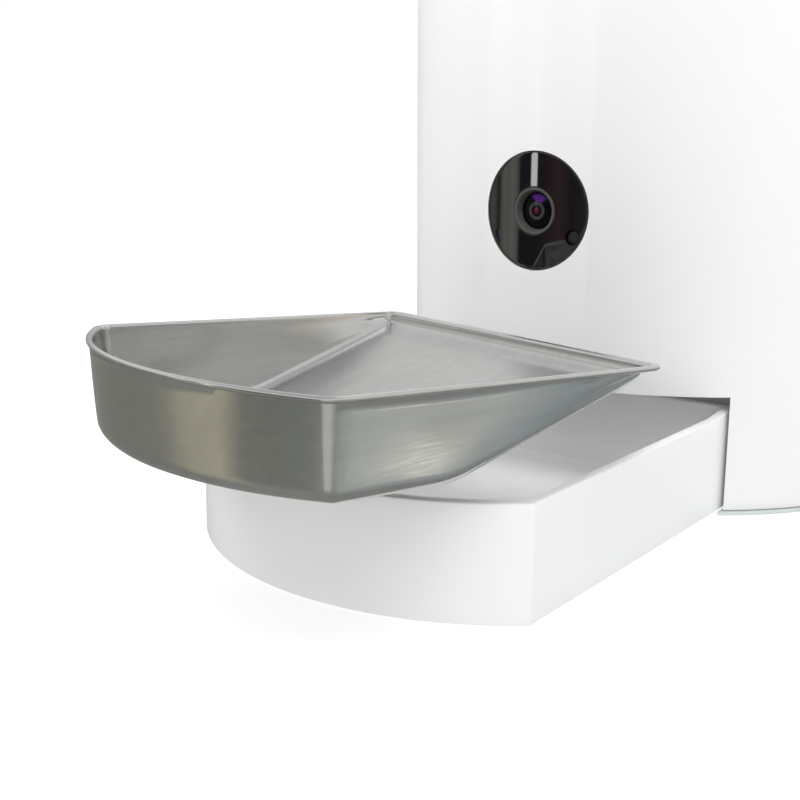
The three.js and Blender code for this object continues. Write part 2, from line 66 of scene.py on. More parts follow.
# ---- sizes taken from the frame, in metres ---------------------------------------------------
BODY_R = high("tower_shell").x
SHELL_LOW = low("tower_shell").z
SHELL_TOP = high("tower_shell").z
WALL = 2.6 * MM
NOTCH_HALF = 58.9 * MM
NOTCH_TOP = 37.3 * MM
BASE_R = high("base_plate").x
WINDOW_Z = (low("camera_window").z + high("camera_window").z) / 2
WINDOW_R = (high("camera_window").z - low("camera_window").z) / 2
BEZEL_R = (high("lens_bezel").z - low("lens_bezel").z) / 2


# ==== shader maths ============================================================================
class Sock:
    """An output socket of a node tree, with arithmetic that adds Math nodes."""

    def __init__(self, graph, socket):
        self.graph = graph
        self.socket = socket

    def math(self, operation, second=0.0):
        return self.graph.node("ShaderNodeMath", {"operation": operation}, {0: self, 1: second})

    def math_from(self, operation, first):
        """The operation with this socket second, as in 1 - mask."""
        return self.graph.node("ShaderNodeMath", {"operation": operation}, {0: first, 1: self})

    def __add__(self, other):
        return self.math("ADD", other)

    __radd__ = __add__

    def __sub__(self, other):
        return self.math("SUBTRACT", other)

    def __rsub__(self, other):
        return self.math_from("SUBTRACT", other)

    def __mul__(self, other):
        return self.math("MULTIPLY", other)

    __rmul__ = __mul__

    def __truediv__(self, other):
        return self.math("DIVIDE", other)

    def __rtruediv__(self, other):
        return self.math_from("DIVIDE", other)

    def __pow__(self, power):
        return self.math("POWER", power)

    def __rpow__(self, base):
        return self.math_from("POWER", base)

    def __abs__(self):
        return self.math("ABSOLUTE")

    def between(self, start, end, to_start=0.0, to_end=1.0):
        """Runs smoothly from to_start at start to to_end at end, and stays there."""
        return self.graph.node(
            "ShaderNodeMapRange", {"interpolation_type": "SMOOTHSTEP"},
            {"Value": self, "From Min": start, "From Max": end, "To Min": to_start,
             "To Max": to_end})

    def inside(self, start, full, full_end, end):
        """Rises from 0 at start to 1 at full, and falls from full_end back to 0 at end."""
        return self.between(start, full) * self.between(end, full_end)


class Graph:
    """A node tree that is written from expressions."""

    def __init__(self, tree):
        self.tree = tree
        tree.nodes.clear()

    def node(self, kind, settings=None, inputs=None, out=0):
        made = self.tree.nodes.new(kind)
        for key, value in (settings or {}).items():
            if key == "stops":
                self._stops(made.color_ramp, value)
            else:
                setattr(made, key, value)
        for key, value in (inputs or {}).items():
            socket = made.inputs[key]
            if isinstance(value, Sock):
                self.tree.links.new(value.socket, socket)
            else:
                socket.default_value = value
        return Sock(self, made.outputs[out]) if made.outputs else made

    @staticmethod
    def _stops(ramp, stops):
        while len(ramp.elements) > 1:
            ramp.elements.remove(ramp.elements[0])
        ramp.elements[0].position = stops[0][0]
        ramp.elements[0].color = (*stops[0][1], 1)
        for place, colour in stops[1:]:
            ramp.elements.new(place).color = (*colour, 1)

    def place(self, scale=(1, 1, 1), turn=(0, 0, 0), origin=(0, 0, 0)):
        """Object coordinates, measured from origin, turned and then scaled."""
        coords = self.node("ShaderNodeTexCoord", out=3)
        moved = self.node("ShaderNodeVectorMath", {"operation": "SUBTRACT"}, {0: coords, 1: origin})
        turned = self.node("ShaderNodeMapping", {"vector_type": "POINT"},
                           {"Vector": moved, "Rotation": turn})
        return self.node("ShaderNodeVectorMath", {"operation": "MULTIPLY"}, {0: turned, 1: scale})

    def noise(self, vector, scale, detail=2.0, rough=0.5, distortion=0.0):
        return self.node("ShaderNodeTexNoise", None,
                         {"Vector": vector, "Scale": scale, "Detail": detail, "Roughness": rough,
                          "Distortion": distortion})

    def axis(self, vector, index):
        return self.node("ShaderNodeSeparateXYZ", None, {"Vector": vector}, out=index)

    def mix(self, factor, first, second):
        return self.node("ShaderNodeMix", {"data_type": "RGBA"},
                         {0: factor, 6: _rgba(first), 7: _rgba(second)}, out=2)


def _rgba(colour):
    return colour if isinstance(colour, Sock) else (*colour, 1.0)


class Finish(Graph):
    """A surface finish: one Principled shader, with bump from a height in metres."""

    def __init__(self, name, **values):
        self.material = bpy.data.materials.new(name)
        self.material.use_nodes = True
        super().__init__(self.material.node_tree)
        self.shader = self.tree.nodes.new("ShaderNodeBsdfPrincipled")
        output = self.tree.nodes.new("ShaderNodeOutputMaterial")
        self.tree.links.new(self.shader.outputs[0], output.inputs[0])
        self.set(**values)

    def set(self, **values):
        for key, value in values.items():
            socket = self.shader.inputs[key.replace("_", " ")]
            if isinstance(value, Sock):
                self.tree.links.new(value.socket, socket)
            elif isinstance(value, tuple) and len(value) == 3:
                socket.default_value = (*value, 1.0)
            else:
                socket.default_value = value

    def bump(self, height, distance, strength=1.0):
        normal = self.node("ShaderNodeBump", None,
                           {"Height": height, "Distance": distance, "Strength": strength})
        self.tree.links.new(normal.socket, self.shader.inputs["Normal"])


# ==== finishes ================================================================================
SPARK_SIZE = 0.9 * MM


def moulded(name, colour, roughness, tint=0.02, grain=0.02 * MM, coat=0.0):
    """Injection-moulded plastic: fine spark texture, faint flow mottling and handling marks."""
    f = Finish(name, Specular_IOR_Level=0.5, Coat_Roughness=0.12)
    here = f.place()
    mottle = f.noise(here, 14.0, 4.0, 0.6)
    smudge = f.noise(f.place(scale=(1, 1, 0.45)), 38.0, 3.0, 0.65, 0.6)
    darker = tuple(c * (1 - 2 * tint) for c in colour)
    f.set(Base_Color=f.mix(mottle.between(0.3, 0.75), colour, darker))
    f.set(Roughness=smudge.between(0.35, 0.8, roughness, roughness + 0.09))
    if coat:
        f.set(Coat_Weight=coat)
    f.bump(f.noise(here, 1 / SPARK_SIZE, 3.0, 0.7), grain, 0.35)
    return f.material


def brushed_steel(name, colour, roughness, turn=(0, 0, 0), origin=(0, 0, 0)):
    """Satin sheet: long hairlines, a cloudy polish, slow waves in the metal and light scuffs.
    The ramp is duller than the walls, and a shadow is painted as a near-black line under the rear
    hem."""
    f = Finish(name, Metallic=1.0)
    here = f.place(turn=turn, origin=origin)
    drawn = f.place(scale=(9.0, 0.35, 9.0), turn=turn, origin=origin)
    hair = f.noise(drawn, 260.0, 4.0, 0.75)
    streaks = f.noise(drawn, 38.0, 3.0, 0.6)
    clouds = f.noise(here, 26.0, 4.0, 0.6, 0.8)
    scratch = f.node("ShaderNodeTexVoronoi", {"feature": "DISTANCE_TO_EDGE"},
                     {"Vector": f.place(scale=(1, 0.18, 1), turn=(0.2, 0.1, 0.9)), "Scale": 120.0})
    scuff = scratch.between(0.0, 0.01, 1.0, 0.0) * clouds.between(0.56, 0.7)
    dark = tuple(c * 0.93 for c in colour)
    light = tuple(min(1.0, c * 1.05) for c in colour)
    tone = clouds * 0.55 + streaks * 0.45
    side, along = abs(f.axis(here, 0)), f.axis(here, 1)
    height = f.axis(here, 2) - along * BOWL_PITCH
    ramp = side.between(50 * MM, 47 * MM) * along.between(-76 * MM, -68 * MM)
    ramp = ramp * along.between(0.5 * MM, -1.5 * MM)
    # Painted shade: a near-black line in the colour, inside and out, where the rear hem overhangs
    # the wall.
    hem_shade = along.between(0.4 * MM, 1.0 * MM) * side.between(53 * MM, 51 * MM)
    hem_shade = hem_shade * height.between(-3.0 * MM, -2.7 * MM) * height.between(-1.2 * MM, -1.5 * MM)
    metal = f.mix(tone.between(0.32, 0.68), dark, light)
    f.set(Base_Color=f.mix(hem_shade * 0.85, metal, (0.06, 0.06, 0.055)))
    f.set(Roughness=hair.between(0.3, 0.7, roughness - 0.03, roughness + 0.04)
          + scuff * 0.12 + ramp * 0.2)
    waves = f.noise(here, 34.0, 1.0, 0.4)
    f.bump(hair * 0.10 + streaks * 0.12 - scuff * 0.2 + waves * 5.0, 0.02 * MM, 0.5)
    return f.material


def polished_black(name):
    """Polished acrylic: deep black, a trace of dust and faint wiping marks."""
    f = Finish(name, IOR=1.9)
    wipe = f.noise(f.place(scale=(1, 1, 0.3)), 90.0, 4.0, 0.6, 1.2)
    dust = f.noise(f.place(), 2600.0, 1.0, 0.5)
    speck = dust.between(0.72, 0.8)
    f.set(Base_Color=f.mix(speck * 0.25, (0.006, 0.006, 0.007), (0.10, 0.10, 0.10)))
    f.set(Roughness=wipe.between(0.4, 0.8, 0.025, 0.07) + speck * 0.1)
    return f.material


def rubbery(name, colour, roughness):
    """Rubber or silicone: dull skin with a fine bloom."""
    f = Finish(name, Specular_IOR_Level=0.35)
    bloom = f.noise(f.place(), 160.0, 5.0, 0.7)
    pale = tuple(min(1.0, c * 1.25 + 0.02) for c in colour)
    f.set(Base_Color=f.mix(bloom.between(0.35, 0.75), colour, pale))
    f.set(Roughness=bloom.between(0.3, 0.8, roughness - 0.08, roughness + 0.08))
    f.bump(f.noise(f.place(), 1400.0, 2.0, 0.6), 0.03 * MM, 0.5)
    return f.material


def plated(name, colour, roughness):
    """Zinc plate or machined metal: small crystals and turning marks."""
    f = Finish(name, Metallic=1.0)
    cells = f.node("ShaderNodeTexVoronoi", None, {"Vector": f.place(), "Scale": 420.0})
    grime = f.noise(f.place(), 60.0, 4.0, 0.6)
    dull = tuple(c * 0.72 for c in colour)
    f.set(Base_Color=f.mix(grime.between(0.35, 0.7) * 0.6 + cells * 0.3, colour, dull))
    f.set(Roughness=grime.between(0.3, 0.8, roughness, roughness + 0.15))
    f.bump(f.noise(f.place(scale=(1, 1, 8)), 900.0, 2.0), 0.01 * MM, 0.5)
    return f.material


def smoky_clear(name):
    """Tinted see-through moulding, modelled as a dense milky grey with a gloss skin."""
    f = Finish(name, Coat_Roughness=0.08, Transmission_Weight=0.25, IOR=1.49)
    flow = f.noise(f.place(scale=(1, 1, 0.4)), 22.0, 4.0, 0.6, 0.6)
    f.set(Base_Color=f.mix(flow.between(0.3, 0.75), (0.70, 0.73, 0.75), (0.62, 0.65, 0.67)))
    f.set(Roughness=flow.between(0.3, 0.8, 0.16, 0.28), Coat_Weight=0.4)
    f.bump(f.noise(f.place(), 500.0, 2.0), 0.01 * MM, 0.4)
    return f.material


def circuit(name):
    """Solder mask over copper tracks, with gilded pads."""
    f = Finish(name, Coat_Roughness=0.2)
    here = f.place()
    bricks = f.node("ShaderNodeTexBrick", {"offset": 0.5},
                    {"Vector": f.place(turn=(0, math.pi / 2, 0)), "Scale": 160.0,
                     "Mortar Size": 0.035, "Color1": (0.01, 0.09, 0.04, 1),
                     "Color2": (0.012, 0.11, 0.05, 1), "Mortar": (0.05, 0.25, 0.12, 1)})
    pads = f.noise(here, 420.0, 1.0).between(0.66, 0.7)
    f.set(Base_Color=f.mix(pads * 0.6, bricks, (0.65, 0.52, 0.22)))
    f.set(Roughness=pads.between(0, 1, 0.35, 0.25), Coat_Weight=0.5)
    f.bump(f.noise(here, 700.0, 2.0), 0.03 * MM, 0.5)
    return f.material


def sleeve(name):
    """Shrink sleeve of a dry cell: dark body with a plain copper-coloured top third."""
    f = Finish(name, Coat_Roughness=0.08)
    height = f.axis(f.place(origin=(0, 0, low("cell_1").z)), 2)
    length = high("cell_1").z - low("cell_1").z
    band = height.between(length * 0.68, length * 0.685)
    worn = f.noise(f.place(), 90.0, 4.0, 0.6)
    paint = f.mix(band, (0.012, 0.013, 0.015), (0.55, 0.24, 0.09))
    f.set(Base_Color=f.mix(worn.between(0.4, 0.8) * 0.12, paint, (0.3, 0.3, 0.3)))
    f.set(Metallic=band * 0.7, Roughness=worn.between(0.3, 0.8, 0.25, 0.4), Coat_Weight=0.5)
    f.bump(f.noise(f.place(scale=(1, 1, 0.1)), 500.0, 2.0), 0.02 * MM, 0.4)
    return f.material


def paper(name):
    """Non-woven paper of the desiccant sachet."""
    f = Finish(name)
    fibres = f.noise(f.place(scale=(1, 0.3, 1)), 900.0, 5.0, 0.8, 1.5)
    f.set(Base_Color=f.mix(fibres.between(0.3, 0.7), (0.86, 0.84, 0.79), (0.72, 0.70, 0.64)))
    f.set(Roughness=fibres.between(0.3, 0.7, 0.8, 0.95))
    f.bump(fibres, 0.15 * MM, 0.8)
    return f.material


def lens_coating(name):
    """Coated front element: nearly black, with a painted violet reflection of the coating towards
    the top right.
    """
    f = Finish(name, IOR=1.15)
    origin = (0, -BODY_R, WINDOW_Z)
    across = f.axis(f.place(origin=origin), 0)
    up = f.axis(f.place(origin=origin), 2)
    radius = (across * across + up * up) ** 0.5
    # Painted reflection: a violet glint off the coating is painted into the colour towards the top
    # right; the bloom mask carries it.
    violet_reflection_wedge = (up - abs(across - 0.9 * MM) * 0.9).between(0.9 * MM, 2.6 * MM)
    bloom = violet_reflection_wedge * radius.between(2.6 * MM, 3.2 * MM) * radius.between(5.6 * MM, 4.6 * MM)
    ring = radius.between(1.7 * MM, 1.9 * MM) * radius.between(2.9 * MM, 2.7 * MM)
    pupil = radius.between(1.5 * MM, 0.3 * MM)
    glass = f.mix(bloom, (0.004, 0.004, 0.005), (0.085, 0.025, 0.20))
    glass = f.mix(ring, glass, (0.045, 0.05, 0.05))
    glass = f.mix(pupil, glass, (0.10, 0.012, 0.022))
    dust = f.noise(f.place(), 1800.0, 1.0)
    f.set(Base_Color=glass, Roughness=dust.between(0.4, 0.9, 0.03, 0.07))
    return f.material


def light_guide(name):
    """Clear light guide over a lit blue-white diode."""
    f = Finish(name, Emission_Strength=0.6, Coat_Roughness=0.1)
    haze = f.noise(f.place(), 500.0, 3.0)
    f.set(Base_Color=f.mix(haze.between(0.3, 0.7), (0.70, 0.85, 1.0), (0.5, 0.75, 1.0)))
    f.set(Emission_Color=f.mix(haze.between(0.3, 0.7), (0.3, 0.6, 1.0), (0.2, 0.5, 1.0)))
    f.set(Roughness=haze.between(0.3, 0.7, 0.15, 0.3), Coat_Weight=0.6)
    return f.material


BOWL_PITCH = -0.0672
BOWL_YAW = -0.2203
BOWL_ORIGIN = Vector((15.8, -132.7, 60.4)) * MM
BOWL_PLACE = Matrix.Translation(BOWL_ORIGIN) @ (
    Matrix.Rotation(BOWL_YAW, 4, "Z") @ Matrix.Rotation(BOWL_PITCH, 4, "X"))

WHITE = moulded("white_shell", (0.86, 0.86, 0.865), 0.30, tint=0.006, grain=0.012 * MM, coat=0.25)
INNER = moulded("white_inside", (0.74, 0.745, 0.75), 0.48, tint=0.02, grain=0.03 * MM)
PLATE = moulded("grey_green_base", (0.60, 0.66, 0.645), 0.4, tint=0.03, grain=0.03 * MM)
NYLON = moulded("natural_nylon", (0.72, 0.70, 0.63), 0.42, tint=0.05, grain=0.03 * MM)
BLACK = moulded("matt_black", (0.014, 0.014, 0.015), 0.42, tint=0.15, grain=0.03 * MM)
STEEL = brushed_steel("brushed_bowl_steel", (0.60, 0.60, 0.59), 0.15, turn=(0, 0, -BOWL_YAW),
                      origin=BOWL_ORIGIN)
GLOSS = polished_black("polished_black")
RUBBER = rubbery("grey_rubber", (0.05, 0.05, 0.055), 0.75)
SILICONE = rubbery("silicone", (0.66, 0.68, 0.69), 0.5)
ZINC = plated("zinc_plate", (0.66, 0.67, 0.68), 0.28)
CLEAR = smoky_clear("smoky_clear")
BOARD = circuit("circuit_board")
SLEEVE = sleeve("cell_sleeve")
SACHET = paper("sachet_paper")
LENS = lens_coating("coated_lens")
GUIDE = light_guide("light_guide")
BEZEL = moulded("satin_black_bezel", (0.085, 0.083, 0.08), 0.28, tint=0.15, grain=0.01 * MM)
CAPSULE = plated("microphone_capsule", (0.13, 0.14, 0.165), 0.35)


# ==== mesh helpers ============================================================================
def to_object(name, bm, material):
    """Turns a bmesh into a linked object with its material and outward faces."""
    bmesh.ops.remove_doubles(bm, verts=bm.verts, dist=1e-7)
    bmesh.ops.recalc_face_normals(bm, faces=bm.faces)
    mesh = bpy.data.meshes.new(name)
    bm.to_mesh(mesh)
    bm.free()
    mesh.materials.append(material)
    made = bpy.data.objects.new(name, mesh)
    scene.collection.objects.link(made)
    return made


def settle(obj):
    """Applies the object's modifiers and leaves a plain mesh."""
    bpy.context.view_layer.update()
    shaped = obj.evaluated_get(bpy.context.evaluated_depsgraph_get())
    mesh = bpy.data.meshes.new_from_object(shaped)
    obj.modifiers.clear()
    obj.data = mesh
    return obj


def combine(obj, operation, *others):
    """Applies the other objects to this one as booleans and removes them."""
    for other in others:
        modifier = obj.modifiers.new("boolean", "BOOLEAN")
        modifier.operation = operation
        modifier.solver = "EXACT"
        modifier.object = other
    settle(obj)
    for other in others:
        bpy.data.objects.remove(other)
    return obj


def carve(obj, *cutters):
    return combine(obj, "DIFFERENCE", *cutters)


def round_edges(obj, width, segments=3, angle=40, where=None):
    """Rounds the edges sharper than angle; where picks them by their middle point."""
    bm = bmesh.new()
    bm.from_mesh(obj.data)
    weight = bm.edges.layers.float.new("bevel_weight_edge")
    for edge in bm.edges:
        sharp = len(edge.link_faces) == 2 and edge.calc_face_angle(0) > math.radians(angle)
        middle = (edge.verts[0].co + edge.verts[1].co) / 2
        edge[weight] = 1.0 if sharp and (where is None or where(middle)) else 0.0
    bm.to_mesh(obj.data)
    bm.free()
    bevel = obj.modifiers.new("round", "BEVEL")
    bevel.width = width
    bevel.segments = segments
    bevel.limit_method = "WEIGHT"
    bevel.harden_normals = False
    return settle(obj)


def finish_piece(obj, *nodes, angle=32):
    """Smooths the piece, hides the CAD nodes that it stands for and hands it to their body."""
    obj.data.shade_smooth()
    obj.data.set_sharp_from_angle(angle=math.radians(angle))
    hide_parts(*nodes)
    slot_of(nodes[0])
    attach(obj, BODY_OF[nodes[0]])
    return obj


def piece(node, bm, material, angle=32):
    """A finished piece built from scratch that stands for one node."""
    return finish_piece(to_object(node + "_finished", bm, material), node, angle=angle)


def slot_of(node):
    for part in frame["record"]["subparts"]:
        if part["node"] == node:
            return part["material_slot"]
    return None


def mm(*points):
    """Points given in millimetres, in metres."""
    return [tuple(value * MM for value in point) for point in points]


def join_rings(bm, loops):
    """Faces from each ring of vertices to the next; a ring may be one vertex repeated."""
    count = len(loops[0])
    for first, second in zip(loops, loops[1:]):
        for i in range(count):
            j = (i + 1) % count
            corners = list(dict.fromkeys((first[i], first[j], second[j], second[i])))
            if len(corners) > 2:
                bm.faces.new(corners)


def add_to(bm, part):
    """Moves the part's faces into bm."""
    mesh = bpy.data.meshes.new("part")
    part.to_mesh(mesh)
    part.free()
    bm.from_mesh(mesh)


def skin(rings):
    """A closed surface through rings of equal length, with a face on each end."""
    bm = bmesh.new()
    loops = [[bm.verts.new(p) for p in ring] for ring in rings]
    join_rings(bm, loops)
    bm.faces.new(loops[0][::-1])
    bm.faces.new(loops[-1])
    return bm


def turned(profile, steps=128, place=None):
    """Turns (radius, height) pairs about Z. They start and end on the axis, or close."""
    bm = bmesh.new()
    loops = []
    for radius, height in profile:
        if radius < 1e-9:
            loops.append([bm.verts.new((0, 0, height))] * steps)
            continue
        ring = []
        for i in range(steps):
            angle = 2 * math.pi * i / steps
            ring.append(bm.verts.new((radius * math.cos(angle), radius * math.sin(angle), height)))
        loops.append(ring)
    join_rings(bm, loops)
    if place is not None:
        bm.transform(place)
    return bm


def soften(profile, radius, steps=5, closed=False):
    """Rounds the corners of a profile. A corner with a third value uses it as its radius."""
    points = [Vector(p[:2]) for p in profile]
    count = len(points)
    result = []
    for i, point in enumerate(points):
        wanted = profile[i][2] if len(profile[i]) > 2 else radius
        inner = closed or 0 < i < count - 1
        before, after = points[i - 1] - point, points[(i + 1) % count] - point
        half = math.pi
        if inner and wanted > 0 and min(before.length, after.length) >= 1e-8:
            half = before.angle(after) / 2
        if half > math.radians(88):
            result.append(tuple(point))
            continue
        reach = min(wanted / math.tan(half), before.length * 0.49, after.length * 0.49)
        start, end = point + before.normalized() * reach, point + after.normalized() * reach
        for k in range(steps + 1):
            t = k / steps
            curve = start * (1 - t) ** 2 + point * 2 * t * (1 - t) + end * t ** 2
            result.append(tuple(curve))
    return result


def rounded(lo_x, lo_y, hi_x, hi_y, radius, steps=4):
    """Outline of a rectangle with round corners."""
    corners = [(lo_x, lo_y), (hi_x, lo_y), (hi_x, hi_y), (lo_x, hi_y)]
    return soften(corners, radius, steps, closed=True)


def prism(outline, z0, z1):
    return skin([[(x, y, z) for x, y in outline] for z in (z0, z1)])


def box_mesh(lo, hi):
    bm = bmesh.new()
    bmesh.ops.create_cube(bm, size=1.0)
    size = Vector(hi) - Vector(lo)
    bmesh.ops.scale(bm, vec=size, verts=bm.verts)
    bmesh.ops.translate(bm, vec=(Vector(hi) + Vector(lo)) / 2, verts=bm.verts)
    return bm


def along_y(y=0.0, x=0.0, z=0.0):
    """Places a piece turned about Z so that its height points along -Y, to the front."""
    return Matrix.Translation((x, y, z)) @ Matrix.Rotation(math.pi / 2, 4, "X")


def tool(name, bm):
    return to_object(name, bm, WHITE)


def refine(node, width, material):
    """A finished copy of a CAD node: merged, its flat faces joined and its edges rounded."""
    bm = bmesh.new()
    bm.from_mesh(NODES[node].data)
    bmesh.ops.remove_doubles(bm, verts=bm.verts, dist=1e-6)
    bmesh.ops.dissolve_limit(bm, angle_limit=math.radians(0.5), verts=bm.verts, edges=bm.edges)
    mesh = bpy.data.meshes.new(node + "_finished")
    bm.to_mesh(mesh)
    bm.free()
    mesh.materials.clear()
    mesh.materials.append(material)
    made = bpy.data.objects.new(node + "_finished", mesh)
    scene.collection.objects.link(made)
    round_edges(made, width, 2)
    return finish_piece(made, node)


# ==== copies placed by Geometry Nodes =========================================================
def copies_tree():
    """Puts a copy of the template on every point, turned to face away from the axis if asked."""
    tree = bpy.data.node_groups.new("copies_on_points", "GeometryNodeTree")
    for name, kind in (("Points", "Geometry"), ("Template", "Object"), ("Outward", "Float"),
                       ("Size", "Float"), ("Finish", "Material")):
        tree.interface.new_socket(name, in_out="INPUT", socket_type="NodeSocket" + kind)
    tree.interface.new_socket("Copies", in_out="OUTPUT", socket_type="NodeSocketGeometry")
    source, sink, template, place, align, put, real, paint = (tree.nodes.new(kind) for kind in (
        "NodeGroupInput", "NodeGroupOutput", "GeometryNodeObjectInfo",
        "GeometryNodeInputPosition", "FunctionNodeAlignEulerToVector",
        "GeometryNodeInstanceOnPoints", "GeometryNodeRealizeInstances",
        "GeometryNodeSetMaterial"))
    align.axis = "X"
    align.pivot_axis = "Z"
    for start, given, end, taken in (
            (source, "Template", template, "Object"), (source, "Points", put, "Points"),
            (source, "Outward", align, "Factor"), (place, "Position", align, "Vector"),
            (template, "Geometry", put, "Instance"), (align, "Rotation", put, "Rotation"),
            (source, "Size", put, "Scale"), (put, "Instances", real, "Geometry"),
            (real, "Geometry", paint, "Geometry"), (source, "Finish", paint, "Material"),
            (paint, "Geometry", sink, "Copies")):
        tree.links.new(start.outputs[given], end.inputs[taken])
    return tree


COPIES = copies_tree()


def copies(name, template, points, material, outward=0.0):
    """One plain mesh of the template repeated on the points; the template is removed."""
    mesh = bpy.data.meshes.new(name)
    mesh.from_pydata([tuple(p) for p in points], [], [])
    made = bpy.data.objects.new(name, mesh)
    scene.collection.objects.link(made)
    modifier = made.modifiers.new("copies", "NODES")
    modifier.node_group = COPIES
    values = {"Template": template, "Outward": outward, "Size": 1.0, "Finish": material}
    for item in COPIES.interface.items_tree:
        if item.name in values:
            modifier[item.identifier] = values[item.name]
    template.hide_render = True
    settle(made)
    bpy.data.objects.remove(template)
    return made


# ==== camera, floor and light =================================================================
CAMERA_PLACE = (0.2039, -0.4159, 0.1233)
CAMERA_AZIMUTH = 0.6721
CAMERA_PITCH = 0.2368
CAMERA_LENS = 54.57


def make_camera():
    data = bpy.data.cameras.new("camera")
    data.lens = CAMERA_LENS
    data.sensor_width = 36.0
    data.clip_start = 0.01
    camera = bpy.data.objects.new("camera", data)
    camera.location = CAMERA_PLACE
    camera.rotation_euler = (math.pi / 2 - CAMERA_PITCH, 0.0, CAMERA_AZIMUTH)
    scene.collection.objects.link(camera)
    scene.camera = camera


def make_floor():
    bm = bmesh.new()
    bmesh.ops.create_circle(bm, cap_ends=True, segments=96, radius=6.0)
    f = Finish("floor_paper", Roughness=0.9, Specular_IOR_Level=0.1, Emission_Strength=0.72)
    grain = f.noise(f.place(), 60.0, 2.0)
    f.set(Base_Color=f.mix(grain, (0.40, 0.40, 0.40), (0.38, 0.38, 0.38)))
    f.set(Emission_Color=f.mix(grain, (1.0, 1.0, 1.0), (0.98, 0.98, 0.98)))
    floor = to_object("floor", bm, f.material)
    floor.location.z = -0.2 * MM
    floor.visible_glossy = False


def area_light(name, place, target, size, power):
    """A soft lamp that lights surfaces but isn't seen in reflections."""
    data = bpy.data.lights.new(name, "AREA")
    data.energy = power
    data.size = size
    light = bpy.data.objects.new(name, data)
    light.location = place
    aim = Vector(target) - Vector(place)
    light.rotation_euler = aim.to_track_quat("-Z", "Y").to_euler()
    light.visible_glossy = False
    scene.collection.objects.link(light)


def make_world():
    """A studio room: pale above, and walls in soft bands that the steel and window mirror."""
    world = bpy.data.worlds.new("studio")
    world.use_nodes = True
    scene.world = world
    g = Graph(world.node_tree)
    ray = g.node("ShaderNodeTexCoord", out=0)
    x, y, z = (g.axis(ray, i) for i in range(3))
    turn = g.node("ShaderNodeMath", {"operation": "ARCTAN2"}, {0: x, 1: y * -1.0})
    around_room = turn / (2 * math.pi) + 0.5
    high_walls, low_walls = (g.node("ShaderNodeValToRGB", {"stops": bands}, {"Fac": around_room})
                             for bands in (HIGH_BANDS, LOW_BANDS))
    room = g.mix(z.between(*WALL_SPLIT), low_walls, high_walls)
    for heights, colour in ZONES:
        room = g.mix(z.between(*heights), room, colour)
    degrees = turn * (180 / math.pi)
    for bearings, heights, cover, colour in PATCHES:
        patch = degrees.inside(*bearings) * z.inside(*heights) * cover
        room = g.mix(patch, room, colour)
    camera_ray = g.node("ShaderNodeLightPath", out=0)
    seen = g.mix(camera_ray, room, (1.0, 1.0, 1.0))
    background = g.node("ShaderNodeBackground", None, {"Color": seen, "Strength": 1.0})
    output = g.tree.nodes.new("ShaderNodeOutputWorld")
    g.tree.links.new(background.socket, output.inputs["Surface"])


# Ray heights over which the low walls pass into the high ones, and over which each further zone
# takes over, with its colour: the upper room, the ceiling and the floor.
WALL_SPLIT = (-0.19, -0.12)
ZONES = (
    ((0.05, 0.35), (0.86, 0.86, 0.85)),
    ((0.5, 0.95), (0.55, 0.56, 0.58)),
    ((-0.45, -0.8), (0.30, 0.30, 0.29)),
)

# Soft-edged patches on the walls: bearings and ray heights at which each starts, is full, is
# still full and ends, then how much it covers and its colour.
PATCHES = (
    ((-34.3, -33.6, -31.3, -30.6), (-0.078, -0.070, 0.08, 0.12), 1.0, (4.0, 4.0, 3.9)),
    ((118.0, 119.0, 121.1, 122.1), (-0.41, -0.39, -0.380, -0.367), 0.9, (0.27, 0.25, 0.23)),
    ((121.2, 122.0, 123.8, 124.6), (-0.44, -0.43, -0.387, -0.372), 1.0, (0.85, 0.84, 0.73)),
    ((118.5, 119.2, 120.0, 120.7), (-0.47, -0.46, -0.402, -0.387), 1.0, (2.3, 2.2, 1.85)),
)


def bands(*stops):
    """Colour stops from (compass bearing in degrees, colour): 0 is ahead, 90 the +X side."""
    return [(degrees / 360 + 0.5, colour) for degrees, colour in stops]


LOW_BANDS = bands(
    (-180, (0.40, 0.40, 0.38)), (-130, (0.30, 0.29, 0.27)), (-95, (0.24, 0.245, 0.22)),
    (-70, (0.25, 0.26, 0.23)), (-56, (0.28, 0.28, 0.25)), (-45, (0.47, 0.45, 0.36)),
    (-30, (0.54, 0.51, 0.40)), (-22, (0.24, 0.245, 0.22)), (-4, (0.23, 0.24, 0.215)),
    (8, (0.26, 0.27, 0.25)), (20, (0.62, 0.62, 0.59)), (50, (0.62, 0.62, 0.60)),
    (75, (0.36, 0.39, 0.38)), (113.6, (0.42, 0.46, 0.43)), (115.1, (0.45, 0.49, 0.45)),
    (116.4, (0.53, 0.56, 0.555)), (118.3, (0.53, 0.56, 0.555)),
    (125.7, (0.466, 0.495, 0.488)), (130.3, (0.378, 0.431, 0.445)),
    (143.4, (0.317, 0.366, 0.372)), (150, (0.30, 0.34, 0.36)), (179, (0.40, 0.40, 0.38)))

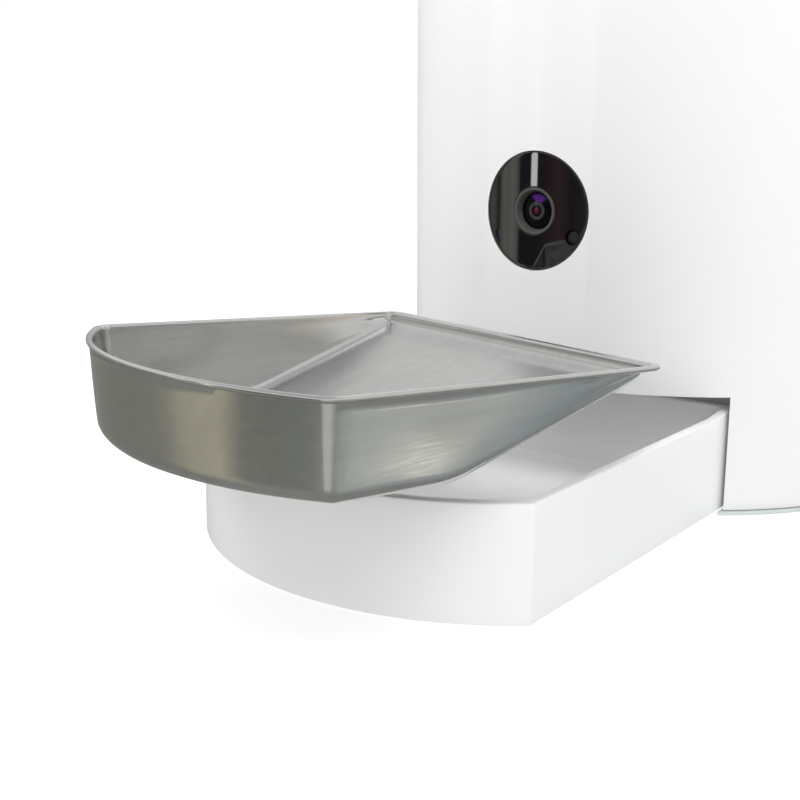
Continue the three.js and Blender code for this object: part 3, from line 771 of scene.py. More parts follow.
HIGH_BANDS = bands(
    (-180, (0.55, 0.55, 0.54)), (-110, (0.40, 0.40, 0.38)), (-62, (0.30, 0.31, 0.29)),
    (-58, (0.06, 0.06, 0.06)), (-55, (0.38, 0.40, 0.38)), (-52.5, (0.34, 0.36, 0.34)),
    (-51.5, (0.04, 0.04, 0.04)), (-50.3, (0.06, 0.06, 0.06)), (-48.5, (0.66, 0.70, 0.62)),
    (-45, (0.55, 0.58, 0.50)), (-43.5, (0.72, 0.76, 0.66)), (-40.5, (0.46, 0.48, 0.42)),
    (-39.5, (0.03, 0.03, 0.03)), (-31, (0.02, 0.02, 0.02)), (-27, (0.06, 0.03, 0.03)),
    (-20, (0.14, 0.07, 0.07)), (-14, (0.03, 0.02, 0.02)), (5, (0.20, 0.18, 0.17)),
    (40, (0.70, 0.70, 0.68)), (80, (0.45, 0.47, 0.47)), (100, (0.31, 0.34, 0.345)),
    (108, (0.34, 0.345, 0.34)), (110.5, (0.44, 0.43, 0.40)),
    (113, (0.92, 0.85, 0.70)), (125, (0.82, 0.80, 0.72)), (150, (0.60, 0.60, 0.58)),
    (179, (0.55, 0.55, 0.54)))


def make_lights():
    target = (0, -0.06, 0.08)
    area_light("key", (1.05, -0.9, 1.7), target, 1.3, 11.2)
    area_light("top", (0.1, -0.1, 1.9), target, 1.2, 3.8)
    area_light("side", (0.2, -0.4, 0.75), (0, -0.05, 0.16), 0.4, 1.2)
    area_light("fill", (-0.55, -0.4, 0.6), (0, -0.05, 0.14), 0.4, 2.2)
    scene.view_settings.view_transform = "Standard"


# ==== tower shell and base ====================================================================
SHELL_STEPS = 256
BASE_NOTCH_HALF = 57.7 * MM
BASE_NOTCH_CORNER = 3 * MM


def tower_shell():
    inner = BODY_R - WALL
    profile = [(inner, SHELL_LOW), (BODY_R, SHELL_LOW), (BODY_R, SHELL_TOP), (inner, SHELL_TOP),
               (inner, SHELL_LOW)]
    shell = to_object("tower_shell_finished", turned(profile, SHELL_STEPS), WHITE)
    notch = tool("notch", box_mesh((-NOTCH_HALF, -0.11, -0.01), (NOTCH_HALF, -0.05, NOTCH_TOP)))
    door_lo, door_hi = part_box("battery_door")
    gap = 0.3 * MM
    door = tool("door", box_mesh((door_lo.x - gap, 0.06, door_lo.z - gap),
                                 (door_hi.x + gap, 0.11, door_hi.z + gap)))
    holes = [
        front_hole("camera_window", 0.25 * MM, 96),
        front_hole("feed_button", 0.3 * MM, 64),
        front_hole("status_light", 0.3 * MM, 32),
        front_hole("reset_button", 0.4 * MM, 32),
        tool("inlet", box_mesh((-5.2 * MM, 0.08, low("power_inlet").z - gap),
                               (5.2 * MM, 0.11, high("power_inlet").z + gap))),
        grille_slots(),
    ]
    carve(shell, notch, door, *holes)

    def roundable(p):
        near_notch = p.y < -0.06 and p.z < NOTCH_TOP + 1 * MM and p.z > SHELL_LOW + 0.1 * MM
        near_door = p.y > 0.06 and door_lo.z - 1 * MM < p.z < door_hi.z + 1 * MM
        rim = abs(p.z - SHELL_TOP) < 0.1 * MM or abs(p.z - SHELL_LOW) < 0.1 * MM
        outside = math.hypot(p.x, p.y) > BODY_R - 0.4 * MM
        return outside and (near_notch or near_door or rim)

    round_edges(shell, 0.35 * MM, 3, 50, roundable)
    return finish_piece(shell, "tower_shell", angle=30)


def front_hole(node, gap, steps):
    """A round cutter along Y through the wall where the node sits."""
    lo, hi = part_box(node)
    radius = (hi.z - lo.z) / 2 + gap
    middle = (lo + hi) / 2
    reach = 0.012
    profile = [(0, -reach), (radius, -reach), (radius, reach), (0, reach)]
    y = math.copysign(BODY_R - 0.004, middle.y)
    return tool(node + "_hole", turned(profile, steps, along_y(y, middle.x, middle.z)))


GRILLE_Z = 0.104
GRILLE_R = 0.017
GRILLE_PITCH = 0.0046
GRILLE_SLOT = 1.1 * MM


def grille_slots():
    """Upright slots with round ends, shorter towards the sides so that they fill a circle."""
    bm = bmesh.new()
    for i in range(-3, 4):
        half = math.sqrt(GRILLE_R ** 2 - (i * GRILLE_PITCH) ** 2)
        ends = rounded(-GRILLE_SLOT, -half, GRILLE_SLOT, half, GRILLE_SLOT)
        slot = prism(ends, -0.012, 0.012)
        slot.transform(along_y(BODY_R - 0.004, i * GRILLE_PITCH, GRILLE_Z))
        add_to(bm, slot)
    return tool("grille", bm)


def base_plate():
    """A thin disc that shows as a lip round the tower, cut away where the tray stands."""
    lip_top = min(SHELL_LOW, high("base_plate").z) - 0.3 * MM
    thick = high("base_plate").z
    seat = BODY_R - WALL - 0.6 * MM
    profile = soften([(0, 0), (BASE_R, 0), (BASE_R, lip_top), (seat, lip_top), (seat, thick),
                      (0, thick)], 0.3 * MM, 4)
    plate = to_object("base_plate_finished", turned(profile, SHELL_STEPS), PLATE)
    half = BASE_NOTCH_HALF
    edge_y = -math.sqrt(BASE_R ** 2 - half ** 2)
    corner = BASE_NOTCH_CORNER
    right = [(half, -60.5 * MM), (half, edge_y + corner)]
    for k in range(1, 9):
        turn = math.pi / 2 * k / 8
        right.append((half + corner * (1 - math.cos(turn)),
                      edge_y + corner * (0.75 - math.sin(turn))))
    right.append((half + corner, -0.12))
    outline = right + [(-x, y) for x, y in reversed(right)]
    notch = tool("base_notch", prism(outline, -0.005, 0.01))
    pockets = [round_pocket(p, 8.3, 1.3, 48) for p in middles("foot", 4)]
    heads = [round_pocket(p, 3.4, 1.4, 32) for p in middles("base_screw", 4)]
    carve(plate, notch, *pockets, *heads)
    return finish_piece(plate, "base_plate")


def round_pocket(p, radius, depth, steps):
    """A cutter for a round pocket in the underside, with its radius and depth in millimetres."""
    profile = mm((0, -10), (radius, -10), (radius, depth), (0, depth))
    return tool("pocket", turned(profile, steps, Matrix.Translation((p.x, p.y, 0))))


def middles(prefix, count):
    """Middle of the underside of each numbered node."""
    points = []
    for i in range(1, count + 1):
        lo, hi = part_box(f"{prefix}_{i}")
        points.append(Vector(((lo.x + hi.x) / 2, (lo.y + hi.y) / 2, lo.z)))
    return points


def feet():
    """Flush rubber pads with three raised rings underneath."""
    profile = mm((0, 0.25))
    for inner in (1.5, 3.8, 6.1):
        profile += mm((inner, 0.25), (inner + 0.2, 0), (inner + 1.2, 0), (inner + 1.4, 0.25))
    profile += mm((8, 0.25, 0.1), (8, 1.0, 0.2), (0, 1.0))
    pad = tool("foot_pad", turned(soften(profile, 0.05 * MM, 2), 48))
    made = copies("feet_finished", pad, middles("foot", 4), RUBBER)
    return finish_piece(made, *[f"foot_{i}" for i in range(1, 5)])


def base_screws():
    """Pan-head screws with a cross recess and a threaded shank."""
    profile = mm((0, 0), (2.4, 0), (3, 0.35), (3, 0.8))
    z = 0.8
    while z < 11.2:
        profile += mm((1.15, z), (1.15, z + 0.25), (1.5, z + 0.5), (1.15, z + 0.75))
        z += 0.8
    profile += mm((0.5, 11.7), (0, 11.7))
    screw = tool("screw", turned(profile, 32))
    arms = [tool("arm", box_mesh(*mm((-x, -y, -1), (x, y, 0.6))))
            for x, y in ((1.5, 0.3), (0.3, 1.5))]
    carve(screw, *arms)
    made = copies("base_screws_finished", screw, middles("base_screw", 4), ZINC)
    return finish_piece(made, *[f"base_screw_{i}" for i in range(1, 5)])


# ==== tray and bowl ===========================================================================
def bowed_plan(half, corner_y, back_y, bow, front_r, back_r, stations=()):
    """Plan of the tray or bowl, anticlockwise from the back right corner: rounded back corners,
    straight sides with a point at each station, and a front bowed out as one arc."""
    front_arc = (half * half + bow * bow) / (2 * bow)
    centre_y = corner_y - bow + front_arc
    fillet_x = half - front_r
    fillet_y = centre_y - math.sqrt((front_arc - front_r) ** 2 - fillet_x ** 2)
    meet = math.atan2(fillet_x, centre_y - fillet_y)
    right = []
    for k in range(BACK_STEPS + 1):
        turn = math.pi / 2 * (1 - k / BACK_STEPS)
        right.append((half - back_r + back_r * math.cos(turn),
                      back_y - back_r + back_r * math.sin(turn)))
    start, end = back_y - back_r, fillet_y
    for y in stations:
        right.append((half, min(start - 0.01 * MM, max(end + 0.01 * MM, y))))
    for k in range(CORNER_STEPS + 1):
        turn = (math.pi / 2 - meet) * k / CORNER_STEPS
        right.append((fillet_x + front_r * math.cos(turn), fillet_y - front_r * math.sin(turn)))
    for k in range(1, ARC_STEPS + 1):
        turn = meet * (1 - k / ARC_STEPS)
        right.append((front_arc * math.sin(turn), centre_y - front_arc * math.cos(turn)))
    left = [(-x, y) for x, y in reversed(right[:-1])]
    return (right + left)[::-1]


BACK_STEPS = 6
CORNER_STEPS = 8
ARC_STEPS = 24

TRAY_WALL = 3 * MM
TRAY_CORNER = -180.4 * MM
TRAY_FLARE = 0.6 * MM
TRAY_RISE = 1.2 * MM
TRAY_BACK_LIFT = 1.2 * MM


def food_tray():
    """A moulded tray: upright walls with a flat rim, roomy inner corners and a coved floor. Its
    sides rise a little towards the rear underneath, and its rear wall stands a little taller."""
    lo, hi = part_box("food_tray")
    half, back, rim = hi.x, hi.y, hi.z
    ground = 0.1 * MM
    floor = lo.z + 2.4 * MM
    corner = TRAY_CORNER
    bow = corner - lo.y
    stations = [back - (back - corner) * k / 24 for k in range(1, 24)]

    def level(inset, z, inner=0.0):
        flare = TRAY_FLARE * (1 - z / rim)
        plan = bowed_plan(half - inset, corner - flare + inset * 0.8, back - inset,
                          bow - inset * 0.2, 1.6 * MM + inset * 0.4 + inner,
                          1.5 * MM + inner * 0.4, stations)
        ring = []
        for x, y in plan:
            along = (y - corner) / (back - corner)
            ramp = TRAY_RISE * max(0.0, along) * (1 - z / rim)
            step = TRAY_BACK_LIFT * smoothstep((y - back + 12 * MM) / (4 * MM)) * (z / rim)
            ring.append((x, y, z + ramp + step))
        return ring

    def quarter(count):
        turns = [math.pi / 2 * k / count for k in range(count + 1)]
        return [(1 - math.sin(turn), 1 - math.cos(turn)) for turn in turns]

    edge, lip, cove, inside = 0.35 * MM, 0.6 * MM, 3.5 * MM, 8.5 * MM
    rings = [level(edge * side, ground + edge * up) for side, up in quarter(4)]
    rings += [level(0, ground + edge + (rim - edge - lip) * k / 8) for k in range(1, 8)]
    rings += [level(lip * up, rim - lip * side) for side, up in quarter(4)]
    rings += [level(TRAY_WALL - lip * side, rim - lip * up, inside) for side, up in quarter(4)]
    drop = rim - lip - floor - cove
    rings += [level(TRAY_WALL, rim - lip - drop * k / 6, inside) for k in range(1, 6)]
    rings += [level(TRAY_WALL + cove * up, floor + cove * side, inside)
              for side, up in quarter(8)]
    return piece("food_tray", skin(rings), WHITE, angle=50)


def smoothstep(t):
    t = max(0.0, min(1.0, t))
    return t * t * (3 - 2 * t)


BOWL_HALF = 53.5 * MM
BOWL_LENGTH = 97.8 * MM
BOWL_BOW = 19 * MM
BOWL_DEPTH = 24.2 * MM
BOWL_FLAT = 36 * MM
BOWL_BACK_DEPTH = 4.6 * MM
BOWL_FLANGE = 5.8 * MM
BOWL_DRAFT = 1.8 * MM
SHEET = 0.9 * MM
BEAD = 0.75 * MM
BOWL_CORNER = 5.5 * MM
BOWL_SKEW = 10 * MM
BOWL_LEFT_DROP = 0.8 * MM
REAR_WALL = 1.8 * MM
REAR_LEAN = 0.8 * MM
HEM_GAP = 0.7 * MM
CREASE = 6 * MM
PRESS_R = 4.2 * MM


def bowl_floor(x, y):
    """Height of the bowl's underside: level at the front, then a ramp, softly joined. The ramp
    starts a little further back on the left."""
    left = 0.5 - x / (2 * BOWL_HALF)
    start = -BOWL_LENGTH + BOWL_FLAT + BOWL_SKEW * left
    slope = (BOWL_DEPTH - BOWL_BACK_DEPTH - BOWL_LEFT_DROP * left) / -start
    if y <= start - CREASE:
        return -BOWL_DEPTH
    if y >= start + CREASE:
        return -BOWL_DEPTH + slope * (y - start)
    return -BOWL_DEPTH + slope * (y - start + CREASE) ** 2 / (4 * CREASE)


def steel_bowl():
    """Pressed sheet: a bead round the front and sides, a flat flange behind, drafted walls and
    tight press radii down to a floor that ramps up to the back."""
    start = -BOWL_LENGTH + BOWL_FLAT
    top = start + BOWL_SKEW + CREASE
    bends = [top - (BOWL_SKEW + 2 * CREASE) * k / 12 for k in range(13)]
    climb = [top + (-top - 4 * MM) * (1 - k / 8) for k in range(8)]
    run = [start - CREASE - (BOWL_FLAT - CREASE - 6 * MM) * k / 4 for k in range(1, 5)]
    stations = climb + bends + run

    def outline(inset, back=0.0):
        plan = bowed_plan(BOWL_HALF - inset, -BOWL_LENGTH + inset, REAR_WALL - inset, BOWL_BOW,
                          max(1.2 * MM, BOWL_CORNER - inset), max(1.0 * MM, 3 * MM - inset),
                          stations)
        return [(x, y + back * max(0.0, min(1.0, (y + 3 * MM) / (3 * MM))) ** 0.5)
                for x, y in plan]

    def wall_ring(inset, fall, lift, lean):
        """A ring whose height runs from the rim (fall 0) down to the floor (fall 1)."""
        return [(x, y, fall * (bowl_floor(x, y) + lift))
                for x, y in outline(inset + BOWL_DRAFT * fall, lean * (1 - fall))]

    outer_r = PRESS_R
    inner_r = outer_r - SHEET
    hem_low = 2 * BEAD + 0.5 * MM
    rings = []
    for k in range(7):
        turn = math.pi / 2 * k / 6
        ring = wall_ring(outer_r * (1 - math.sin(turn)), 1.0, 0.0, 0.0)
        rings.append([(x, y, z + outer_r * (1 - math.cos(turn)) * press(z, 0)) for x, y, z in ring])
    for k in range(1, 6):
        rings.append(wall_ring(0.0, 1 - k / 6, outer_r * (1 - k / 6), REAR_LEAN))
    for k in range(9):
        turn = -0.45 * math.pi + 1.45 * math.pi * k / 8
        reach = BEAD * math.cos(turn) - 0.15 * MM
        tail = max(0.0, math.cos(turn)) ** 0.25
        flange = BOWL_FLANGE - BEAD - REAR_WALL
        plan = outline(-reach, REAR_LEAN + (flange - REAR_LEAN) * tail)
        rings.append([(x, y, BEAD * (math.sin(turn) - 1)) for x, y in plan])
    hem = outline(BEAD + 0.15 * MM, REAR_LEAN)
    rings.append([(x, y, -2 * BEAD) for x, y in hem])
    for k in range(1, 6):
        fall = k / 6
        ring = []
        for x, y in outline(SHEET + BOWL_DRAFT * fall, (REAR_LEAN + HEM_GAP) * (1 - fall)):
            deep = bowl_floor(x, y) + SHEET
            top = deep + inner_r * press(deep, hem_low)
            ring.append((x, y, -2 * BEAD + (top + 2 * BEAD) * fall))
        rings.append(ring)
    for k in range(7):
        turn = math.pi / 2 * k / 6
        ring = wall_ring(SHEET + inner_r * (1 - math.cos(turn)), 1.0, SHEET, 0.0)
        rings.append([(x, y, z + inner_r * (1 - math.sin(turn)) * press(z, hem_low))
                      for x, y, z in ring])
    bm = skin(rings)
    floor_faces = [f for f in bm.faces if len(f.verts) > 8]
    split_floor(bm, floor_faces, stations)
    bm.transform(BOWL_PLACE)
    return piece("steel_bowl", bm, STEEL, angle=60)


def press(z, hem):
    """The press radius shrinks where the wall below the hem is too shallow for it."""
    return min(1.0, (abs(z) - hem) / PRESS_R)


def split_floor(bm, faces, stations):
    """Cuts each end face across at the stations, so that the bend in the floor stays smooth."""
    rims = [list(f.verts) for f in faces]
    bmesh.ops.delete(bm, geom=faces, context="FACES_ONLY")
    pairs = []
    for rim in rims:
        for v in rim:
            mates = [w for w in rim if abs(w.co.x + v.co.x) < 1e-7
                     and abs(w.co.y - v.co.y) < 1e-7 and v.co.x > 1e-5]
            pairs += [(v, mates[0])] if mates else []
    for v, mate in pairs:
        if bm.edges.get((v, mate)) is None:
            bm.edges.new((v, mate))
    edges = [e for e in bm.edges if not e.is_manifold]
    bmesh.ops.edgenet_fill(bm, edges=edges)


# ==== camera window ===========================================================================
MIC_PLACE = (-13.3 * MM, 84.5 * MM)
SENSOR_PLACE = (13.3 * MM, 84.5 * MM)


def camera_window():
    """A polished round window that follows the cylinder, with holes for what looks through it."""
    outer, inner = WINDOW_R, BEZEL_R + 0.15 * MM
    round_r = 0.25 * MM
    radii = [(inner, 2.0), (inner, 0.1)]
    radii += [(inner + (outer - inner) * k / 10, 0.0) for k in range(11)]
    radii[2] = (inner + 0.1 * MM, 0.0)
    radii[12] = (outer - round_r, 0.0)
    for k in range(1, 5):
        turn = math.pi / 2 * k / 4
        radii.append((outer - round_r * (1 - math.sin(turn)),
                      (1 - math.cos(turn)) * round_r / MM))
    radii += [(outer, 2.0), (inner, 2.0)]
    steps = 192
    bm = bmesh.new()
    loops = []
    for radius, depth in radii:
        ring = []
        for i in range(steps):
            turn = 2 * math.pi * i / steps
            x = radius * math.cos(turn)
            y = -math.sqrt((BODY_R - depth * MM) ** 2 - x * x)
            ring.append(bm.verts.new((x, y, WINDOW_Z + radius * math.sin(turn))))
        loops.append(ring)
    join_rings(bm, loops)
    window = to_object("camera_window_finished", bm, GLOSS)
    carve(window, small_hole("microphone", 1.55 * MM, MIC_PLACE),
          small_hole("light_sensor", 2.3 * MM, SENSOR_PLACE))
    return finish_piece(window, "camera_window", angle=40)


def small_hole(name, radius, place):
    profile = [(0, -4 * MM), (radius, -4 * MM), (radius, 4 * MM), (0, 4 * MM)]
    return tool(name, turned(profile, 48, along_y(-BODY_R, *place)))


def behind_window(profile, steps, depth, x, z):
    """A piece turned about -Y from pairs of radius and depth in millimetres."""
    pairs = mm(*((point[0], -point[1]) for point in profile))
    return turned(pairs, steps, along_y(depth - BODY_R, x, z))


def lens_turned(profile):
    return behind_window(profile, 96, 0, 0, WINDOW_Z)


def lens():
    """The camera: a funnel-shaped bezel, a stepped barrel and a shallow front element."""
    ring = soften([(5.75, 7.8), (5.75, 2.4, 0.1), (6.3, 0.5, 0.15), (6.5, 0.05, 0.12),
                   (7.3, 0.05, 0.2), (7.4, 0.6), (7.4, 7.8)], 0.1, 4)
    piece("lens_bezel", lens_turned(ring + ring[:1]), BEZEL, angle=35)
    steps = [(0, 17.5), (4.5, 17.5)]
    for k in range(6):
        steps += [(4.5, 7.6 - 0.6 * k), (4.2, 7.4 - 0.6 * k), (4.5, 7.2 - 0.6 * k)]
    steps += [(4.6, 4.0, 0.1), (0, 4.0)]
    piece("lens_barrel", lens_turned(soften(steps, 0.05, 2)), BLACK, angle=35)
    dome = [(0, 3.4), (5.65, 3.4)]
    for k in range(13):
        turn = math.pi / 2 * (1 - k / 12)
        dome.append((5.65 * math.sin(turn), 2.5 - 0.9 * math.cos(turn)))
    piece("lens_glass", lens_turned(dome), LENS, angle=45)


def microphone():
    """The microphone capsule, and the flat light sensor on the window's other side."""
    face = [(0, 1.0), (1.0, 1.0), (1.05, 0.75), (1.35, 0.7), (1.4, 0.8), (1.4, 4.8), (0, 4.8)]
    piece("microphone", behind_window(face, 48, 0.9 * MM, *MIC_PLACE), CAPSULE)
    disc = [(0, 0.74), (1.2, 0.78), (1.9, 0.88), (2.1, 1.1), (2.1, 4.0), (0, 4.0)]
    bm = behind_window(soften(disc, 0.3, 4), 48, 0.9 * MM, *SENSOR_PLACE)
    piece("light_sensor", bm, BLACK, angle=45)


# ==== button, light, door and sockets =========================================================
def feed_button():
    """A round key with a shallow dish."""
    lo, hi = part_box("feed_button")
    r = (hi.x - lo.x) / 2
    z = (lo.z + hi.z) / 2
    thick = hi.y - lo.y
    profile = [(0, 0), (r, 0), (r, thick, 0.6 * MM), (r - 1.6 * MM, thick, 0.4 * MM),
               (r - 2.2 * MM, thick - 0.35 * MM, 0.5 * MM), (0, thick - 0.55 * MM)]
    bm = turned(soften(profile, 0, 5), 96, along_y(hi.y, 0, z))
    piece("feed_button", bm, WHITE, angle=50)


def status_light():
    lo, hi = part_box("status_light")
    z = (lo.z + hi.z) / 2
    thick = hi.y - lo.y
    profile = [(0, 0), (1.5 * MM, 0), (1.5 * MM, thick - 0.3 * MM, 0.3 * MM), (0, thick, 1.2 * MM)]
    bm = turned(soften(profile, 0.2 * MM, 4), 48, along_y(hi.y, 0, z))
    piece("status_light", bm, GUIDE, angle=60)


def battery_door():
    """A panel of the cylinder with a finger grip pressed into its upper half."""
    lo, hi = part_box("battery_door")
    inner = BODY_R - WALL
    profile = [(inner, lo.z), (BODY_R, lo.z), (BODY_R, hi.z), (inner, hi.z), (inner, lo.z)]
    door = to_object("battery_door_finished", turned(profile, SHELL_STEPS), WHITE)
    panel = tool("door_box", box_mesh((lo.x, 0.05, 0), (hi.x, 0.11, 0.1)))
    combine(door, "INTERSECT", panel)
    grooves = bmesh.new()
    for i in range(5):
        z = hi.z - 8 * MM - i * 2.4 * MM
        half = (14 - 1.2 * i) * MM
        ends = rounded(-half, -0.6 * MM, half, 0.6 * MM, 0.6 * MM)
        slot = prism(ends, -1.2 * MM, 0.02)
        slot.transform(Matrix.Translation((0, BODY_R - 2.0 * MM, z))
                       @ Matrix.Rotation(-math.pi / 2, 4, "X"))
        add_to(grooves, slot)
    carve(door, tool("grooves", grooves))
    round_edges(door, 0.3 * MM, 3, 50, lambda p: math.hypot(p.x, p.y) > BODY_R - 0.3 * MM)
    finish_piece(door, "battery_door", angle=30)


def power_inlet():
    """A barrel socket: square body, round well with a lead-in, and a centre pin."""
    lo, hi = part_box("power_inlet")
    z = (lo.z + hi.z) / 2
    body = to_object("power_inlet_finished", box_mesh(lo, hi), BLACK)
    well = soften(mm((0, -10.6), (2.75, -10.6), (2.75, -0.9, 0.2), (3.5, 0.1), (3.5, 2),
                     (0, 2)), 0, 3)
    carve(body, tool("well", turned(well, 48, rear_facing(hi.y, 0, z))))
    round_edges(body, 0.4 * MM, 3, 50)
    finish_piece(body, "power_inlet")
    pin = soften(mm((0, -10.8), (0.85, -10.8), (0.85, -1.4, 0.3), (0, -1.1)), 0, 4)
    finish_piece(to_object("inlet_pin", turned(pin, 32, rear_facing(hi.y, 0, z)), ZINC),
                 "power_inlet", angle=45)


def rear_facing(y, x, z):
    """Places a piece turned about Z so that its height points along +Y, out of the rear."""
    return Matrix.Translation((x, y, z)) @ Matrix.Rotation(-math.pi / 2, 4, "X")


def reset_button():
    lo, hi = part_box("reset_button")
    middle = (lo + hi) / 2
    r = (hi.x - lo.x) / 2
    profile = soften([(0, 0), (r, 0), (r, hi.y - lo.y, 0.4 * MM), (0.8 * r, hi.y - lo.y),
                      (0, hi.y - lo.y - 0.3 * MM)], 0.1 * MM, 4)
    bm = turned(profile, 48, rear_facing(lo.y, middle.x, middle.z))
    piece("reset_button", bm, BLACK, angle=45)


# ==== hopper, wheel and drive =================================================================
def hopper():
    """The clear kibble hopper: straight walls, a soft shoulder and a funnel down to the drum."""
    lo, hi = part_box("hopper")
    r = hi.x
    shoulder = 166 * MM
    neck, drum_r = 48 * MM, 54 * MM
    corners = [(neck, lo.z), (drum_r, lo.z), (drum_r, lo.z + 2 * MM), (r, shoulder, 9 * MM),
               (r, hi.z, 0.8 * MM), (r - 2 * MM, hi.z, 0.8 * MM), (r - 2 * MM, shoulder, 7 * MM),
               (neck, lo.z + 2.7 * MM)]
    profile = soften(corners, 0.3 * MM, 6, closed=True)
    piece("hopper", turned(profile + profile[:1], 160), CLEAR)


def food_wheel():
    """Hub, six vanes that thicken where they meet it, and a soft wiper blade on each."""
    lo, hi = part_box("food_wheel")
    bore = 3.3 * MM
    hub = soften([(bore, lo.z), (11 * MM, lo.z), (11 * MM, hi.z, 1.0 * MM), (bore, hi.z)],
                 0.4 * MM, 4, closed=True)
    made = to_object("wheel_hub", turned(hub + hub[:1], 96), NYLON)
    finish_piece(made, "food_wheel")
    vane = soften(mm((10.6, -2.4), (15, -1.1, 3), (48, -0.9), (48, 0.9), (15, 1.1, 3),
                     (10.6, 2.4)), 0.3 * MM, 4, closed=True)
    template = tool("vane", prism(vane, lo.z, hi.z - 0.2 * MM))
    round_edges(template, 0.3 * MM, 2, 60)
    finish_piece(around("wheel_vanes", template, NYLON), "food_wheel")
    blade_lo, blade_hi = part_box("wiper_blade_1")
    lip = soften(mm((48.3, -1), (49.6, -1), (51.3, -0.35), (51.3, 0.35), (49.6, 1), (48.3, 1)),
                 0.25 * MM, 3, closed=True)
    blade = tool("blade", prism(lip, blade_lo.z, blade_hi.z))
    finish_piece(around("wiper_blades_finished", blade, SILICONE),
                 *[f"wiper_blade_{i}" for i in range(1, 7)])


def around(name, template, material, count=6):
    """Copies the template round the Z axis. Its own place is kept as the first copy."""
    points = []
    for i in range(count):
        turn = 2 * math.pi * i / count
        points.append((AIM * math.cos(turn), AIM * math.sin(turn), 0))
    shift = Matrix.Translation((-AIM, 0, 0))
    template.data.transform(shift)
    return copies(name, template, points, material, outward=1.0)


AIM = 1 * MM


def motor():
    """A can motor: rolled seams, and an end cap with a bearing boss."""
    lo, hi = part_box("motor")
    r = (hi.x - lo.x) / 2
    x, y = (lo.x + hi.x) / 2, (lo.y + hi.y) / 2
    z = lo.z
    can = [(0, z), (r - 0.8 * MM, z), (r - 0.8 * MM, z + 2 * MM), (r, z + 2.4 * MM, 0.4 * MM),
           (r, z + 6 * MM), (r - 0.3 * MM, z + 6.4 * MM), (r - 0.3 * MM, z + 7 * MM),
           (r, z + 7.4 * MM), (r, hi.z - 3.5 * MM, 0.8 * MM), (8 * MM, hi.z - 2 * MM, 0.5 * MM),
           (8 * MM, hi.z, 0.4 * MM), (0, hi.z)]
    bm = turned(soften(can, 0.1 * MM, 4), 96, Matrix.Translation((x, y, 0)))
    piece("motor", bm, ZINC)


def speaker():
    """A small loudspeaker: rolled surround, cone and dust cap, with the magnet behind."""
    lo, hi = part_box("speaker")
    z = (lo.z + hi.z) / 2
    face = [(0, 0.2), (2, 0), (5.2, -0.8), (14.5, 1.6), (16, 2.6), (17.6, 2.9), (18.6, 2.2),
            (18.9, 2.6), (20, 2.9, 0.3), (20, 0, 0.3), (12.2, -0.2), (12.2, -5.9, 0.6), (0, -5.9)]
    pairs = soften([(p[0] * MM, (p[1] - 3) * MM, (p[2] if len(p) > 2 else 0.3) * MM)
                    for p in face], 0, 4)
    piece("speaker", turned(pairs, 96, rear_facing(hi.y, 0, z)), BLACK, angle=45)


def cells():
    """Dry cells: sleeve rolled over the rim, a raised positive cap and a flat base."""
    lo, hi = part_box("cell_1")
    r = (hi.x - lo.x) / 2
    tall = hi.z - lo.z
    profile = [(0, 0.3 * MM), (r - 2.2 * MM, 0.3 * MM), (r - 2.2 * MM, 0, 0.2 * MM),
               (r, 0, 0.9 * MM), (r, tall - 1.5 * MM, 1.1 * MM), (r - 2 * MM, tall - 1.5 * MM),
               (r - 2.3 * MM, tall - 1.9 * MM), (3.6 * MM, tall - 1.9 * MM, 0.5 * MM),
               (3.3 * MM, tall, 0.6 * MM), (0, tall)]
    cell = tool("cell", turned(soften(profile, 0.1 * MM, 4), 64))
    made = copies("cells_finished", cell, middles("cell", 3), SLEEVE)
    finish_piece(made, "cell_1", "cell_2", "cell_3")


def boards():
    """The main board with moulded packages and a row of can capacitors."""
    lo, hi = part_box("main_board")
    plate = to_object("main_board_finished",
                      box_mesh(lo, (lo.x + 1.6 * MM, hi.y, hi.z)), BOARD)
    round_edges(plate, 0.3 * MM, 2, 50)
    finish_piece(plate, "main_board")
    face = lo.x + 1.6 * MM
    middle = (lo + hi) / 2
    chip = tool("chip", box_mesh((0, -5 * MM, -5 * MM), (1.6 * MM, 5 * MM, 5 * MM)))
    round_edges(chip, 0.3 * MM, 2, 50)
    spots = [(face, middle.y + y * MM, middle.z + z * MM)
             for y, z in ((-18, -8), (14, -10), (-14, 18), (16, 16), (0, 4))]
    finish_piece(copies("board_chips", chip, spots, BLACK), "main_board")
    can = soften(mm((0, 0), (2.3, 0), (2.3, 2.6, 0.4), (0, 2.6)), 0, 3)
    cap = tool("capacitor", turned(can, 24, Matrix.Rotation(math.pi / 2, 4, "Y")))
    spots = [(face, middle.y + (k * 7 - 24) * MM, hi.z - 6 * MM) for k in range(8)]
    finish_piece(copies("board_capacitors", cap, spots, ZINC), "main_board")


